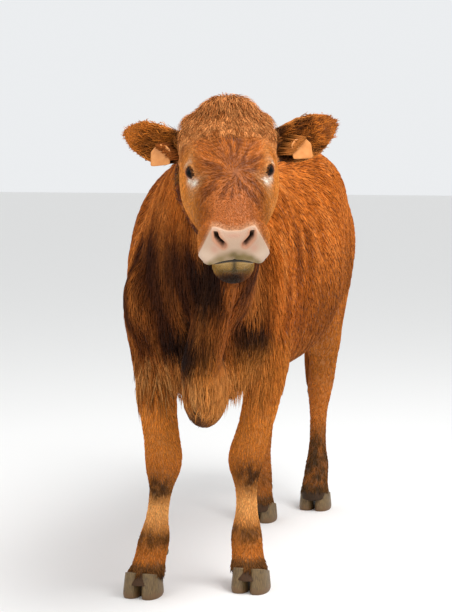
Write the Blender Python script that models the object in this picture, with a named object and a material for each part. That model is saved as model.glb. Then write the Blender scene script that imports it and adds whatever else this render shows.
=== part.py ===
"""Still, life-size model of a young red beef cow that stands and turns its head to its left.

The cow faces -Y, its left side is +X and up is +Z, in metres. Every solid reaches the tips of the coat.
The flesh is made whole from lofted forms, remeshed into one skin, and parted by thin cuts into named nodes.
"""

import math

import bmesh
import bpy
import numpy as np
from mathutils import Matrix, Vector

# ---- Driving sizes, in metres ----
WITHERS_HEIGHT = 1.27
CUT_GAP = 0.0004
REMESH_VOXEL = 0.008
HEAD_TRIANGLES = 1220
BODY_TRIANGLES = 2900
RING_POINTS = 28

# Head carriage: the head looks to the cow's left, nose down, leaning a little.
HEAD_YAW = math.radians(18.3)
HEAD_PITCH = math.radians(42.0)
HEAD_ROLL = math.radians(1.7)
POLL = Vector((0.194, -0.875, 1.392))
EYE_RADIUS = 0.0205
EYE_PLACE = Vector((0.0885, 0.203, -0.054))  # to the side, towards the nose, up from the brow
EYE_AXIS = Vector((0.64, 0.50, 0.58)).normalized()  # the way the left eye's opening faces
EYE_SLIT = Vector((-0.40, 1.00, -0.35))  # from the outer to the inner corner
EAR_ROOT = Vector((0.100, 0.078, -0.095))
EAR_ALONG_LEFT = Vector((0.885, -0.480, -0.050)).normalized()
EAR_ALONG_RIGHT = Vector((0.828, -0.540, -0.152)).normalized()
EAR_OPENING = Vector((0.30, 0.62, 0.72))
EAR_LENGTH = {1: 0.219, -1: 0.205}
TAG_SHARE = {1: 0.44, -1: 0.39}  # where along each ear its tag hangs
TAG_TURN = {1: math.radians(15), -1: math.radians(19)}  # how far each tag swings towards the ear's root
TAG_DROP = 0.005  # how far below the ear's middle line its pin sits
EAR_LOWER = {1: 1.0, -1: 0.84}  # the ear turned back a little shows a narrower lower half
# Columns: share of the length, half width, drop of the middle, depth of the cup, thickness
EAR = (
    (0.00, 0.030, 0.000, 0.034, 0.018),
    (0.12, 0.040, 0.002, 0.036, 0.014),
    (0.28, 0.052, 0.006, 0.034, 0.010),
    (0.45, 0.058, 0.007, 0.029, 0.009),
    (0.62, 0.055, 0.004, 0.023, 0.008),
    (0.78, 0.046, 0.000, 0.017, 0.008),
    (0.90, 0.032, -0.002, 0.012, 0.007),
    (0.97, 0.018, -0.003, 0.008, 0.006),
    (1.00, 0.008, -0.003, 0.006, 0.005),
)
TAG_WIDTH = 0.057
TAG_HEIGHT = 0.052
TAG_THICKNESS = 0.0024
CLAW_HEIGHT = 0.062
CLAW_SPLIT = 0.0016  # half the cleft between a foot's two claws

# Where each foot stands: the middle of the hoof on the floor.
FORE_LEFT = Vector((0.140, -0.445, 0.0))
FORE_RIGHT = Vector((-0.141, -0.584, 0.0))
HIND_LEFT = Vector((0.069, 0.648, 0.0))
HIND_RIGHT = Vector((-0.069, 0.416, 0.0))
CORONET_SLOPE = 0.28  # the coronet drops this much for each metre towards the heel

# Columns: distance back, top, bottom, half width, height of the widest place, roundness of the top
TRUNK = (
    (-0.745, 0.88, 0.76, 0.04, 0.82, 2.0),
    (-0.69, 0.99, 0.66, 0.120, 0.83, 2.0),
    (-0.60, 1.12, 0.595, 0.200, 0.88, 2.1),
    (-0.48, 1.220, 0.580, 0.236, 0.90, 2.4),
    (-0.36, WITHERS_HEIGHT - 0.01, 0.580, 0.246, 0.90, 2.45),
    (-0.20, 1.245, 0.578, 0.252, 0.88, 2.35),
    (0.00, 1.232, 0.572, 0.272, 0.885, 2.25),
    (0.15, 1.236, 0.585, 0.275, 0.90, 2.3),
    (0.28, 1.256, 0.630, 0.254, 0.93, 2.6),
    (0.40, 1.278, 0.700, 0.225, 0.98, 2.8),
    (0.52, 1.280, 0.740, 0.212, 1.00, 2.7),
    (0.64, 1.256, 0.775, 0.184, 1.02, 2.5),
    (0.74, 1.205, 0.82, 0.135, 1.03, 2.2),
    (0.800, 1.14, 0.91, 0.06, 1.03, 2.0),
)
# Columns: centre x, y, z, half width, reach above, reach below
NECK = (
    (0.000, -0.36, 0.92, 0.170, 0.29, 0.30),
    (0.005, -0.47, 0.95, 0.180, 0.285, 0.31),
    (0.035, -0.575, 1.00, 0.166, 0.262, 0.29),
    (0.082, -0.675, 1.06, 0.138, 0.235, 0.290),
    (0.134, -0.765, 1.125, 0.118, 0.205, 0.262),
    (0.178, -0.835, 1.185, 0.107, 0.180, 0.220),
    (0.205, -0.895, 1.235, 0.100, 0.150, 0.160),
)
# Columns: distance from the poll to the nose, top, bottom, half width, roundness
HEAD = (
    (-0.040, -0.054, -0.120, 0.060, 2.0),
    (-0.010, -0.016, -0.200, 0.104, 2.3),
    (0.030, 0.002, -0.240, 0.121, 2.3),
    (0.080, 0.010, -0.266, 0.126, 2.3),
    (0.130, 0.010, -0.276, 0.128, 2.4),
    (0.180, 0.003, -0.268, 0.128, 2.2),
    (0.230, -0.005, -0.248, 0.120, 2.2),
    (0.280, -0.011, -0.222, 0.102, 2.4),
    (0.330, -0.014, -0.206, 0.083, 2.4),
    (0.370, -0.014, -0.200, 0.076, 2.4),
    (0.405, -0.014, -0.196, 0.083, 2.5),
    (0.430, -0.019, -0.182, 0.091, 2.6),
    (0.450, -0.032, -0.162, 0.087, 2.6),
    (0.463, -0.050, -0.138, 0.068, 2.4),
    (0.470, -0.070, -0.110, 0.036, 2.0),
)
# Columns: height, half width, half length of the section
FORELEG_FORM = (
    (0.98, 0.040, 0.100),
    (0.85, 0.070, 0.150),
    (0.75, 0.070, 0.138),
    (0.67, 0.064, 0.108),
    (0.59, 0.058, 0.084),
    (0.52, 0.053, 0.066),
    (0.45, 0.052, 0.056),
    (0.40, 0.055, 0.054),
    (0.355, 0.049, 0.050),
    (0.315, 0.0365, 0.040),
    (0.27, 0.0320, 0.035),
    (0.215, 0.0345, 0.036),
    (0.175, 0.0430, 0.043),
    (0.14, 0.0480, 0.049),
    (0.11, 0.0465, 0.047),
    (0.085, 0.0500, 0.050),
    (0.035, 0.0540, 0.060),
)
# Columns: height, x and y of the section's middle, for the cow's left and right foreleg
FORELEG_LEFT = (
    (0.98, 0.150, -0.44), (0.85, 0.160, -0.49), (0.70, 0.178, -0.415), (0.52, 0.158, -0.428),
    (0.385, 0.120, -0.428), (0.25, 0.116, -0.408), (0.13, 0.117, -0.410), (0.035, 0.138, -0.450),
)
FORELEG_RIGHT = (
    (0.98, -0.120, -0.47), (0.85, -0.128, -0.52), (0.70, -0.132, -0.485), (0.54, -0.112, -0.535),
    (0.385, -0.086, -0.562), (0.25, -0.107, -0.550), (0.13, -0.127, -0.546), (0.035, -0.140, -0.588),
)
# Columns: height, middle x, front y, back y, half width
HINDLEG = (
    (1.14, 0.076, 0.42, 0.775, 0.088),
    (1.02, 0.100, 0.35, 0.820, 0.102),
    (0.90, 0.108, 0.29, 0.832, 0.100),
    (0.80, 0.108, 0.285, 0.812, 0.086),
    (0.72, 0.107, 0.315, 0.775, 0.076),
    (0.65, 0.100, 0.42, 0.752, 0.068),
    (0.58, 0.098, 0.515, 0.748, 0.057),
    (0.525, 0.088, 0.580, 0.764, 0.047),
    (0.47, 0.080, 0.612, 0.762, 0.046),
    (0.42, 0.075, 0.628, 0.735, 0.044),
    (0.36, 0.074, 0.634, 0.704, 0.035),
    (0.28, 0.073, 0.632, 0.692, 0.031),
    (0.21, 0.073, 0.624, 0.690, 0.034),
    (0.16, 0.073, 0.612, 0.695, 0.043),
    (0.12, 0.072, 0.598, 0.686, 0.045),
    (0.085, 0.070, 0.584, 0.680, 0.048),
    (0.035, 0.069, 0.575, 0.700, 0.051),
)
# The right hind foot is set this much further forward than the left one
RIGHT_STEP = HIND_LEFT.y - HIND_RIGHT.y
# Columns: centre x, y, z, half width, reach to the front and to the back: the fold under the throat and neck
DEWLAP = (
    (0.240, -0.975, 1.060, 0.034, 0.03, 0.05),
    (0.200, -0.925, 0.970, 0.030, 0.045, 0.08),
    (0.155, -0.875, 0.870, 0.034, 0.05, 0.10),
    (0.115, -0.820, 0.770, 0.044, 0.055, 0.13),
    (0.090, -0.745, 0.684, 0.060, 0.06, 0.15),
    (0.076, -0.665, 0.636, 0.062, 0.06, 0.13),
    (0.066, -0.585, 0.606, 0.048, 0.05, 0.09),
)
# Columns: centre x, y, z, half width
TAIL = (
    (0.0, 0.64, 1.215, 0.060),
    (0.0, 0.750, 1.218, 0.045),
    (0.0, 0.835, 1.190, 0.031),
    (0.0, 0.880, 1.110, 0.025),
    (0.0, 0.890, 0.950, 0.021),
    (0.0, 0.882, 0.770, 0.019),
    (0.0, 0.876, 0.640, 0.024),
    (0.0, 0.872, 0.540, 0.034),
    (0.0, 0.872, 0.460, 0.031),
    (0.0, 0.874, 0.395, 0.016),
)


def clear_scene():
    for obj in list(bpy.data.objects):
        bpy.data.objects.remove(obj, do_unlink=True)


# ---- Shape helpers ----
def smooth_table(rows, count):
    """The table's rows at `count` even steps of its first column or path, joined by a smooth cubic curve."""
    known = np.array(rows, float)
    steps = np.linalg.norm(np.diff(known[:, :3], axis=0), axis=1)
    along = np.concatenate([[0.0], np.cumsum(steps)])
    return smooth_at(along, known, np.linspace(0.0, along[-1], count))


def smooth_at(along, known, wanted):
    """Cubic Hermite values of `known`, given at `along`, at each place in `wanted`."""
    slopes = np.gradient(known, along, axis=0)
    i = np.clip(np.searchsorted(along, wanted) - 1, 0, len(along) - 2)
    width = (along[i + 1] - along[i])[:, None]
    t = ((wanted - along[i]) / (along[i + 1] - along[i]))[:, None]
    return (
        (2 * t**3 - 3 * t**2 + 1) * known[i]
        + (t**3 - 2 * t**2 + t) * width * slopes[i]
        + (3 * t**2 - 2 * t**3) * known[i + 1]
        + (t**3 - t**2) * width * slopes[i + 1]
    )


def rounded(count, power):
    """Cosine and sine of a superellipse: power 2 is round, above that it is boxy."""
    angle = np.linspace(0.0, 2 * math.pi, count, endpoint=False)
    power = np.asarray(power, float)[..., None]
    c, s = np.cos(angle), np.sin(angle)
    return np.sign(c) * np.abs(c) ** (2 / power), np.sign(s) * np.abs(s) ** (2 / power)


def loft(rings):
    """A closed mesh through the rings, an array of ring, point, xyz, with flat ends."""
    rings = np.asarray(rings, float)
    count, points = rings.shape[:2]
    first = np.arange(count - 1)[:, None] * points + np.arange(points)[None]
    nxt = np.arange(count - 1)[:, None] * points + (np.arange(points)[None] + 1) % points
    quads = np.stack([first, nxt, nxt + points, first + points], axis=-1).reshape(-1, 4).tolist()
    ends = [list(range(points))[::-1], list(range((count - 1) * points, count * points))]
    mesh = bpy.data.meshes.new("form")
    mesh.from_pydata(rings.reshape(-1, 3).tolist(), [], quads + ends)
    shape = bmesh.new()
    shape.from_mesh(mesh)
    bmesh.ops.recalc_face_normals(shape, faces=shape.faces)
    shape.to_mesh(mesh)
    shape.free()
    return mesh


def ellipsoid(centre, radii, turn=(0.0, 0.0, 0.0), detail=3):
    mesh = bpy.data.meshes.new("form")
    shape = bmesh.new()
    bmesh.ops.create_icosphere(shape, subdivisions=detail, radius=1.0)
    spin = Matrix.Rotation(turn[2], 4, "Z") @ Matrix.Rotation(turn[1], 4, "Y")
    spin = spin @ Matrix.Rotation(turn[0], 4, "X")
    shape.transform(Matrix.Translation(centre) @ spin @ Matrix.Diagonal((*radii, 1.0)))
    shape.to_mesh(mesh)
    shape.free()
    return mesh


def path_rings(rows, front_back=False):
    """Rings square to a path. Rows hold centre, half width, and the reach to each side of it."""
    table = smooth_table(rows, 3 * len(rows))
    centres = table[:, :3]
    tangent = np.gradient(centres, axis=0)
    tangent /= np.linalg.norm(tangent, axis=1)[:, None]
    side = np.cross(tangent, [0.0, 0.0, 1.0])
    if np.abs(side).max() < 0.3 or front_back:
        side = np.tile([1.0, 0.0, 0.0], (len(centres), 1))
    side /= np.linalg.norm(side, axis=1)[:, None]
    lift = np.cross(side, tangent)
    c, s = rounded(RING_POINTS, np.full(len(centres), 2.2))
    above, below = (table[:, 4], table[:, 5]) if table.shape[1] > 5 else (table[:, 3], table[:, 3])
    reach = np.where(s > 0, above[:, None], below[:, None]) * s
    across = side[:, None] * (table[:, 3, None] * c)[..., None]
    return centres[:, None] + across + lift[:, None] * reach[..., None]


def body_bend(y):
    """How far the spine curves to the cow's left in front of the ribs."""
    return 0.035 * np.clip((-0.25 - y) / 0.37, 0.0, 1.3) ** 2


# ---- Forms of the flesh ----
def trunk_form():
    table = smooth_table(TRUNK, 48)
    y, top, bottom, width, widest, power = table.T
    c, s = rounded(RING_POINTS, power)
    x = body_bend(y)[:, None] + width[:, None] * c
    z = widest[:, None] + np.where(s > 0, (top - widest)[:, None], (widest - bottom)[:, None]) * s
    return loft(np.stack([x, np.broadcast_to(y[:, None], x.shape), z], axis=-1))


def head_matrix():
    """From the head's own axes (to its left, forward to the nose, up from the brow) to the cow's."""
    heading = Vector((math.sin(HEAD_YAW), -math.cos(HEAD_YAW), 0.0))
    nose = heading * math.cos(HEAD_PITCH) - Vector((0, 0, math.sin(HEAD_PITCH)))
    brow = heading * math.sin(HEAD_PITCH) + Vector((0, 0, math.cos(HEAD_PITCH)))
    left = nose.cross(brow) * -1.0
    axes = Matrix((left, nose, brow)).transposed().to_4x4()
    lean = Matrix.Rotation(HEAD_ROLL, 4, heading)
    return Matrix.Translation(POLL) @ lean @ axes


def head_form():
    table = smooth_table(HEAD, 44)
    s_along, top, bottom, width, power = table.T
    middle = (0.42 * top + 0.58 * bottom) * 0.8
    c, s = rounded(RING_POINTS, power)
    x = width[:, None] * c
    z = middle[:, None] + np.where(s > 0, (top - middle)[:, None], (middle - bottom)[:, None]) * s
    # The lower jaw is narrower than the upper lip.
    below = np.clip((-0.112 - z) / 0.026, 0.0, 1.0) * np.clip((s_along[:, None] - 0.34) / 0.07, 0.0, 1.0)
    x = x * (1.0 - 0.34 * below)
    return on_head(loft(np.stack([x, np.broadcast_to(s_along[:, None], x.shape), z], axis=-1)))


def on_head(mesh):
    """Carry a mesh from the head's own axes, which are left-handed, to the cow's."""
    mesh.transform(head_matrix())
    mesh.flip_normals()
    return mesh


def face_forms():
    """Bony rings round the eyes, cheeks, muzzle, lobes of the upper lip, ear roots, chin and poll."""
    forms = []
    for side in (-1, 1):
        forms.append(on_head(ellipsoid((side * 0.074, 0.165, -0.050), (0.034, 0.058, 0.046))))
        forms.append(on_head(ellipsoid((side * 0.078, 0.140, -0.175), (0.046, 0.095, 0.085))))
        forms.append(on_head(ellipsoid((side * 0.046, 0.422, -0.062), (0.046, 0.038, 0.048))))
        forms.append(on_head(ellipsoid((side * 0.060, 0.419, -0.108), (0.027, 0.033, 0.042))))
        forms.append(on_head(ellipsoid((side * 0.098, 0.062, -0.085), (0.036, 0.040, 0.044))))
    forms.append(on_head(ellipsoid((0.0, 0.396, -0.186), (0.057, 0.056, 0.047))))
    forms.append(on_head(ellipsoid((0.003, 0.020, -0.026), (0.076, 0.064, 0.048))))
    return forms


def foreleg_form(places):
    form = smooth_table(FORELEG_FORM, 60)
    levels = form[:, 0]
    known = np.array(places, float)[::-1]
    centre = smooth_at(known[:, 0], known, np.clip(levels, known[0, 0], known[-1, 0]))
    c, s = rounded(RING_POINTS, np.full(len(levels), 2.2))
    x = centre[:, 1, None] + form[:, 1, None] * c
    y = centre[:, 2, None] + form[:, 2, None] * s
    return loft(np.stack([x, y, np.broadcast_to(levels[:, None], x.shape)], axis=-1))


def hindleg_form(side, step):
    table = smooth_table(HINDLEG, 64)
    level, middle, front, back, width = table.T
    share = np.clip((1.02 - level) / 0.86, 0.0, 1.0)
    shift = step * share**1.15
    c, s = rounded(RING_POINTS, np.full(len(level), 2.15))
    x = side * middle[:, None] + width[:, None] * c
    y = ((front + back) / 2 - shift)[:, None] + ((back - front) / 2)[:, None] * s
    return loft(np.stack([x, y, np.broadcast_to(level[:, None], x.shape)], axis=-1))


def bone_forms():
    """Shoulder blades and points, hip bones, pin bones, stifles, udder and brisket."""
    forms = [ellipsoid((0.062, -0.590, 0.665), (0.114, 0.120, 0.094))]
    for side in (-1, 1):
        bend = float(body_bend(-0.50))
        blade = (math.radians(-16), 0, 0)
        forms.append(ellipsoid((bend + side * 0.138, -0.450, 0.960), (0.086, 0.125, 0.240), blade))
        forms.append(ellipsoid((bend + side * 0.128, -0.580, 0.858), (0.080, 0.108, 0.120)))
        forms.append(ellipsoid((side * 0.136, 0.365, 1.165), (0.066, 0.110, 0.080)))
        forms.append(ellipsoid((side * 0.072, 0.745, 1.095), (0.052, 0.075, 0.070)))
        forms.append(ellipsoid((side * 0.132, 0.345, 0.795), (0.068, 0.090, 0.115)))
    forms.append(ellipsoid((0.0, 0.375, 0.690), (0.062, 0.100, 0.052)))
    return forms


def round_path(rows):
    table = smooth_table(rows, 4 * len(rows))
    centres = table[:, :3]
    tangent = np.gradient(centres, axis=0)
    tangent /= np.linalg.norm(tangent, axis=1)[:, None]
    side = np.tile([1.0, 0.0, 0.0], (len(centres), 1))
    lift = np.cross(tangent, side)
    angle = np.linspace(0.0, 2 * math.pi, RING_POINTS, endpoint=False)
    offset = side[:, None] * np.cos(angle)[None, :, None] + lift[:, None] * np.sin(angle)[None, :, None]
    return loft(centres[:, None] + offset * table[:, 3, None, None])


def add_object(name, mesh):
    mesh.name = name
    obj = bpy.data.objects.new(name, mesh)
    bpy.context.scene.collection.objects.link(obj)
    return obj


def settle(obj):
    """Replace the object's mesh by the result of its modifiers."""
    bpy.context.view_layer.update()
    done = bpy.data.meshes.new_from_object(obj.evaluated_get(bpy.context.evaluated_depsgraph_get()))
    obj.modifiers.clear()
    obj.data = done
    return obj


def whole_flesh():
    """All the forms as one closed skin, with its facets."""
    forms = [
        trunk_form(),
        loft(path_rings(NECK)),
        loft(path_rings(DEWLAP)),
        head_form(),
        foreleg_form(FORELEG_LEFT),
        foreleg_form(FORELEG_RIGHT),
        hindleg_form(1, 0.0),
        hindleg_form(-1, RIGHT_STEP),
        round_path(TAIL),
        *face_forms(),
        *bone_forms(),
    ]
    joined = bmesh.new()
    for form in forms:
        joined.from_mesh(form)
    mesh = bpy.data.meshes.new("flesh")
    joined.to_mesh(mesh)
    joined.free()
    flesh = add_object("flesh", mesh)
    remesh = flesh.modifiers.new("one_skin", "REMESH")
    remesh.mode = "VOXEL"
    remesh.voxel_size = REMESH_VOXEL
    settle(flesh)
    soft = flesh.vertex_groups.new(name="soft")
    groups = {name: flesh.vertex_groups.new(name=name) for name in ("head", "body")}
    to_head = head_matrix().inverted()
    members = {"head": set(), "body": set()}
    for vertex in flesh.data.vertices:
        place = to_head @ vertex.co
        in_head = place.y > -0.02 and place.z > -0.29
        on_tail = vertex.co.y > 0.835
        firm = in_head or on_tail or vertex.co.z < 0.55
        soft.add([vertex.index], 0.35 if firm else 1.0, "REPLACE")
        members["head" if in_head else "body"].add(vertex.index)
    for region, group in groups.items():
        group.add(list(members[region]), 1.0, "REPLACE")
    relax = flesh.modifiers.new("relax", "SMOOTH")
    relax.factor = 0.5
    relax.iterations = 44
    relax.vertex_group = "soft"
    settle(flesh)
    total = 2 * len(flesh.data.polygons)
    in_head = 2 * sum(all(i in members["head"] for i in face.vertices) for face in flesh.data.polygons)
    fewer_facets(flesh, "body", (in_head + BODY_TRIANGLES) / total)
    fewer_facets(flesh, "head", (HEAD_TRIANGLES + BODY_TRIANGLES) / (in_head + BODY_TRIANGLES))
    return flesh


def fewer_facets(obj, region, ratio):
    """Merge facets in one region of the surface, most where it is flat."""
    fewer = obj.modifiers.new("facets", "DECIMATE")
    fewer.ratio = ratio
    fewer.vertex_group = region
    fewer.vertex_group_factor = 1000.0
    fewer.use_collapse_triangulate = True
    settle(obj)


# ---- Parting ----
def box(name, size, place, grow):
    """A box cutter: size and place in metres, grown on every side."""
    mesh = bpy.data.meshes.new(name)
    shape = bmesh.new()
    bmesh.ops.create_cube(shape, size=1.0)
    spread = Matrix.Diagonal((size[0] + 2 * grow, size[1] + 2 * grow, size[2] + 2 * grow, 1.0))
    shape.transform(place @ spread)
    if shape.calc_volume(signed=True) < 0:
        bmesh.ops.reverse_faces(shape, faces=shape.faces)
    shape.to_mesh(mesh)
    shape.free()
    return add_object(name, mesh)


def boolean(obj, cutter, operation):
    cutter.hide_render = True
    cutter.display_type = "WIRE"
    step = obj.modifiers.new(operation.lower(), "BOOLEAN")
    step.operation = operation
    step.solver = "EXACT"
    step.object = cutter
    settle(obj)
    bpy.data.objects.remove(cutter, do_unlink=True)
    return keep_largest(obj)


def keep_largest(obj):
    """Drop loose crumbs, so that the object is one body."""
    shape = bmesh.new()
    shape.from_mesh(obj.data)
    bmesh.ops.remove_doubles(shape, verts=shape.verts, dist=1e-6)
    seen = set()
    islands = []
    for start in shape.verts:
        if start.index in seen:
            continue
        stack = [start]
        seen.add(start.index)
        island = []
        while stack:
            vertex = stack.pop()
            island.append(vertex)
            for edge in vertex.link_edges:
                other = edge.other_vert(vertex)
                if other.index not in seen:
                    seen.add(other.index)
                    stack.append(other)
        islands.append(island)
    islands.sort(key=len)
    for island in islands[:-1]:
        bmesh.ops.delete(shape, geom=island, context="VERTS")
    shape.to_mesh(obj.data)
    shape.free()
    return obj


def part_off(source, name, size, place):
    """Cut the box's share of `source` off as its own node, a thin gap away."""
    piece = add_object(name, source.data.copy())
    boolean(piece, box("cutter", size, place, -CUT_GAP / 2), "INTERSECT")
    boolean(source, box("cutter", size, place, CUT_GAP / 2), "DIFFERENCE")
    return piece


def facing(point, direction, size):
    """Place of a box of this size that starts at a point and reaches along a direction."""
    turn = direction.to_track_quat("Y", "Z").to_matrix().to_4x4()
    return Matrix.Translation(point) @ turn @ Matrix.Translation((0, size[1] / 2, 0))


def grown(mesh, amount):
    """A copy of the mesh with its surface moved outwards."""
    copy = mesh.copy()
    shape = bmesh.new()
    shape.from_mesh(copy)
    bmesh.ops.triangulate(shape, faces=shape.faces)
    shape.normal_update()
    moves = [vertex.normal * (vertex.calc_shell_factor() * amount) for vertex in shape.verts]
    for vertex, move in zip(shape.verts, moves):
        vertex.co += move
    shape.to_mesh(copy)
    shape.free()
    return copy


def keep_clear(obj, other_mesh, gap):
    """Cut a body's shape, grown by the gap, out of an object."""
    return boolean(obj, add_object("cutter", grown(other_mesh, gap)), "DIFFERENCE")


# ---- Separate parts ----
def ear_axes(side):
    """The way along the ear, across it and out of its opening, on the head's left."""
    along = EAR_ALONG_LEFT if side > 0 else EAR_ALONG_RIGHT
    opening = (EAR_OPENING - EAR_OPENING.dot(along) * along).normalized()
    return along, opening.cross(along), opening


def ear_mesh(side):
    """A cupped leaf: each section is a crescent, open towards the front."""
    table = smooth_table([(row[0], 0.0, 0.0, *row[1:]) for row in EAR], 12)
    share, half, drop, cup, thick = table[:, 0], table[:, 3], table[:, 4], table[:, 5], table[:, 6]
    along, across, opening = [np.array(axis) for axis in ear_axes(side)]
    sweep = np.linspace(-math.pi / 2, math.pi / 2, 9)
    outer = (half[:, None] * np.sin(sweep), -cup[:, None] * np.cos(sweep))
    lip = (half - 0.55 * thick)[:, None]
    hollow = -(cup - thick)[:, None] * np.cos(sweep[::-1]) + 0.25 * thick[:, None]
    inner = (lip * np.sin(sweep[::-1]), hollow)
    wide = np.concatenate([outer[0], inner[0]], axis=1) + drop[:, None]
    wide = np.where(wide > 0, wide * EAR_LOWER[side], wide)
    deep = np.concatenate([outer[1], inner[1]], axis=1)
    root = np.array(EAR_ROOT) + share[:, None] * EAR_LENGTH[side] * along
    rings = root[:, None] + wide[..., None] * across + deep[..., None] * opening
    rings[..., 0] *= side
    return on_head(loft(rings))


def tag_meshes(side):
    """A flexible flag of plastic in the cup of the ear, and the round button behind it."""
    along, across, opening = ear_axes(side)
    middle = EAR_ROOT + along * (EAR_LENGTH[side] * TAG_SHARE[side]) + across * TAG_DROP
    flag = bpy.data.meshes.new("flag")
    shape = bmesh.new()
    outline = ((-0.5, 1.0), (-0.5, 0.26), (-0.28, 0.0), (0.28, 0.0), (0.5, 0.26), (0.5, 1.0))
    front = middle + opening * 0.006
    wide_way = along * math.cos(TAG_TURN[side]) + across * math.sin(TAG_TURN[side])
    down_way = across * math.cos(TAG_TURN[side]) - along * math.sin(TAG_TURN[side])
    face = []
    for wide, down in outline:
        face.append(front + wide_way * (wide * TAG_WIDTH) + down_way * (down * TAG_HEIGHT))
    for lift in (0.0, TAG_THICKNESS):
        for corner in face:
            shape.verts.new(corner + opening * lift)
    shape.verts.ensure_lookup_table()
    count = len(face)
    shape.faces.new([shape.verts[i] for i in range(count)])
    shape.faces.new([shape.verts[count + i] for i in reversed(range(count))])
    for i in range(count):
        j = (i + 1) % count
        rim = (i, j, count + j, count + i)
        shape.faces.new([shape.verts[k] for k in rim])
    bmesh.ops.recalc_face_normals(shape, faces=shape.faces)
    shape.to_mesh(flag)
    shape.free()
    button = bpy.data.meshes.new("button")
    shape = bmesh.new()
    bmesh.ops.create_cone(shape, cap_ends=True, segments=20, radius1=0.013, radius2=0.013, depth=0.004)
    turn = (-opening).to_track_quat("Z", "Y").to_matrix().to_4x4()
    shape.transform(Matrix.Translation(middle - opening * 0.040) @ turn)
    shape.to_mesh(button)
    shape.free()
    for mesh in (flag, button):
        mesh.transform(Matrix.Diagonal((side, 1.0, 1.0, 1.0)))
        if side < 0:
            mesh.flip_normals()
        on_head(mesh)
    return flag, button


def claw_mesh(foot, side):
    """One claw: a D-shaped wall that leans forwards from the coronet, on a flat sole."""
    levels = np.array([0.0, 0.15, 1.0])
    outer = np.array([0.0550, 0.0555, 0.0500]) - CLAW_SPLIT
    toe = np.array([-0.055, -0.0560, -0.0450])
    heel = np.array([0.047, 0.0490, 0.0490])
    c, s = rounded(16, np.full(len(levels), 2.5))
    x = CLAW_SPLIT + outer[:, None] * (0.5 + 0.5 * c)
    x = np.where(c < 0, CLAW_SPLIT + outer[:, None] * 0.5 * (1 + 0.94 * c), x)
    y = ((toe + heel) / 2)[:, None] + ((heel - toe) / 2)[:, None] * s
    x = x - np.where(y < 0, 0.10 * (y / 0.056) ** 2 * (x - CLAW_SPLIT), 0.0)
    top = CLAW_HEIGHT - CORONET_SLOPE * y - CUT_GAP / 2
    z = levels[:, None] * top
    rings = np.stack([foot.x + side * x, foot.y + y, z], axis=-1)
    return loft(rings)


def eye_mesh(side):
    centre = Vector((side * EYE_PLACE.x, EYE_PLACE.y, EYE_PLACE.z))
    mesh = bpy.data.meshes.new("eye")
    shape = bmesh.new()
    bmesh.ops.create_uvsphere(shape, u_segments=16, v_segments=9, radius=EYE_RADIUS)
    bmesh.ops.rotate(shape, verts=shape.verts, matrix=Matrix.Rotation(math.pi / 2, 3, "Y"))
    bmesh.ops.translate(shape, verts=shape.verts, vec=centre)
    shape.to_mesh(mesh)
    shape.free()
    return on_head(mesh)


def lids_mesh(side):
    """The almond opening of the lids: an ellipsoid laid along the slit, over the front of the eyeball."""
    slit = (EYE_SLIT - EYE_SLIT.dot(EYE_AXIS) * EYE_AXIS).normalized()
    turn = Matrix((slit, EYE_AXIS.cross(slit), EYE_AXIS)).transposed().to_4x4()
    place = Matrix.Translation(EYE_PLACE + EYE_AXIS * (EYE_RADIUS + 0.002)) @ turn
    mesh = ellipsoid((0, 0, 0), (0.0185, 0.0125, 0.0110), detail=2)
    mesh.transform(Matrix.Diagonal((side, 1.0, 1.0, 1.0)) @ place)
    if side < 0:
        mesh.flip_normals()
    return on_head(mesh)


def nostril_mesh(side):
    """The hollow of a nostril: a comma laid across the front of the muzzle."""
    turn = (0.5, side * 0.6, 0.0)
    return on_head(ellipsoid((side * 0.0372, 0.4535, -0.040), (0.0095, 0.018, 0.0165), turn, detail=2))


def mouth_mesh():
    """The line of the closed mouth, a shallow groove round the muzzle, arched down to its corners."""
    turn = (math.radians(16), 0, 0)
    groove = ellipsoid((0.0, 0.416, -0.112), (0.090, 0.051, 0.0045), turn, detail=2)
    for vertex in groove.vertices:
        vertex.co.z -= 0.012 * (min(abs(vertex.co.x), 0.085) / 0.0428) ** 2.2
    return on_head(groove)


def dewclaw_mesh(place):
    """A small blunt horn, round in section."""
    angle = np.linspace(0.0, 2 * math.pi, 8, endpoint=False)
    radius = np.array([0.0085, 0.0135, 0.0085])[:, None]
    x = place.x + radius * np.cos(angle)
    y = place.y + radius * np.sin(angle)
    z = place.z + np.broadcast_to(np.array([-0.017, -0.004, 0.015])[:, None], x.shape)
    return loft(np.stack([x, y, z], axis=-1))


def dewclaw_places():
    """Two for each foot, behind the fetlock."""
    for foot, back, middle in (
        ("fore_left", -0.366, 0.118),
        ("fore_right", -0.500, -0.129),
        ("hind_left", 0.682, 0.071),
        ("hind_right", 0.682 - RIGHT_STEP, -0.071),
    ):
        for side, word in ((-1, "a"), (1, "b")):
            yield f"dewclaw_{foot}_{word}", Vector((middle + side * 0.021, back, 0.112))


# ---- Materials ----
def material(name, colour, roughness):
    finish = bpy.data.materials.new(name)
    finish.use_nodes = True
    shader = finish.node_tree.nodes["Principled BSDF"]
    shader.inputs["Base Color"].default_value = (*colour, 1.0)
    shader.inputs["Roughness"].default_value = roughness
    return finish


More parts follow.
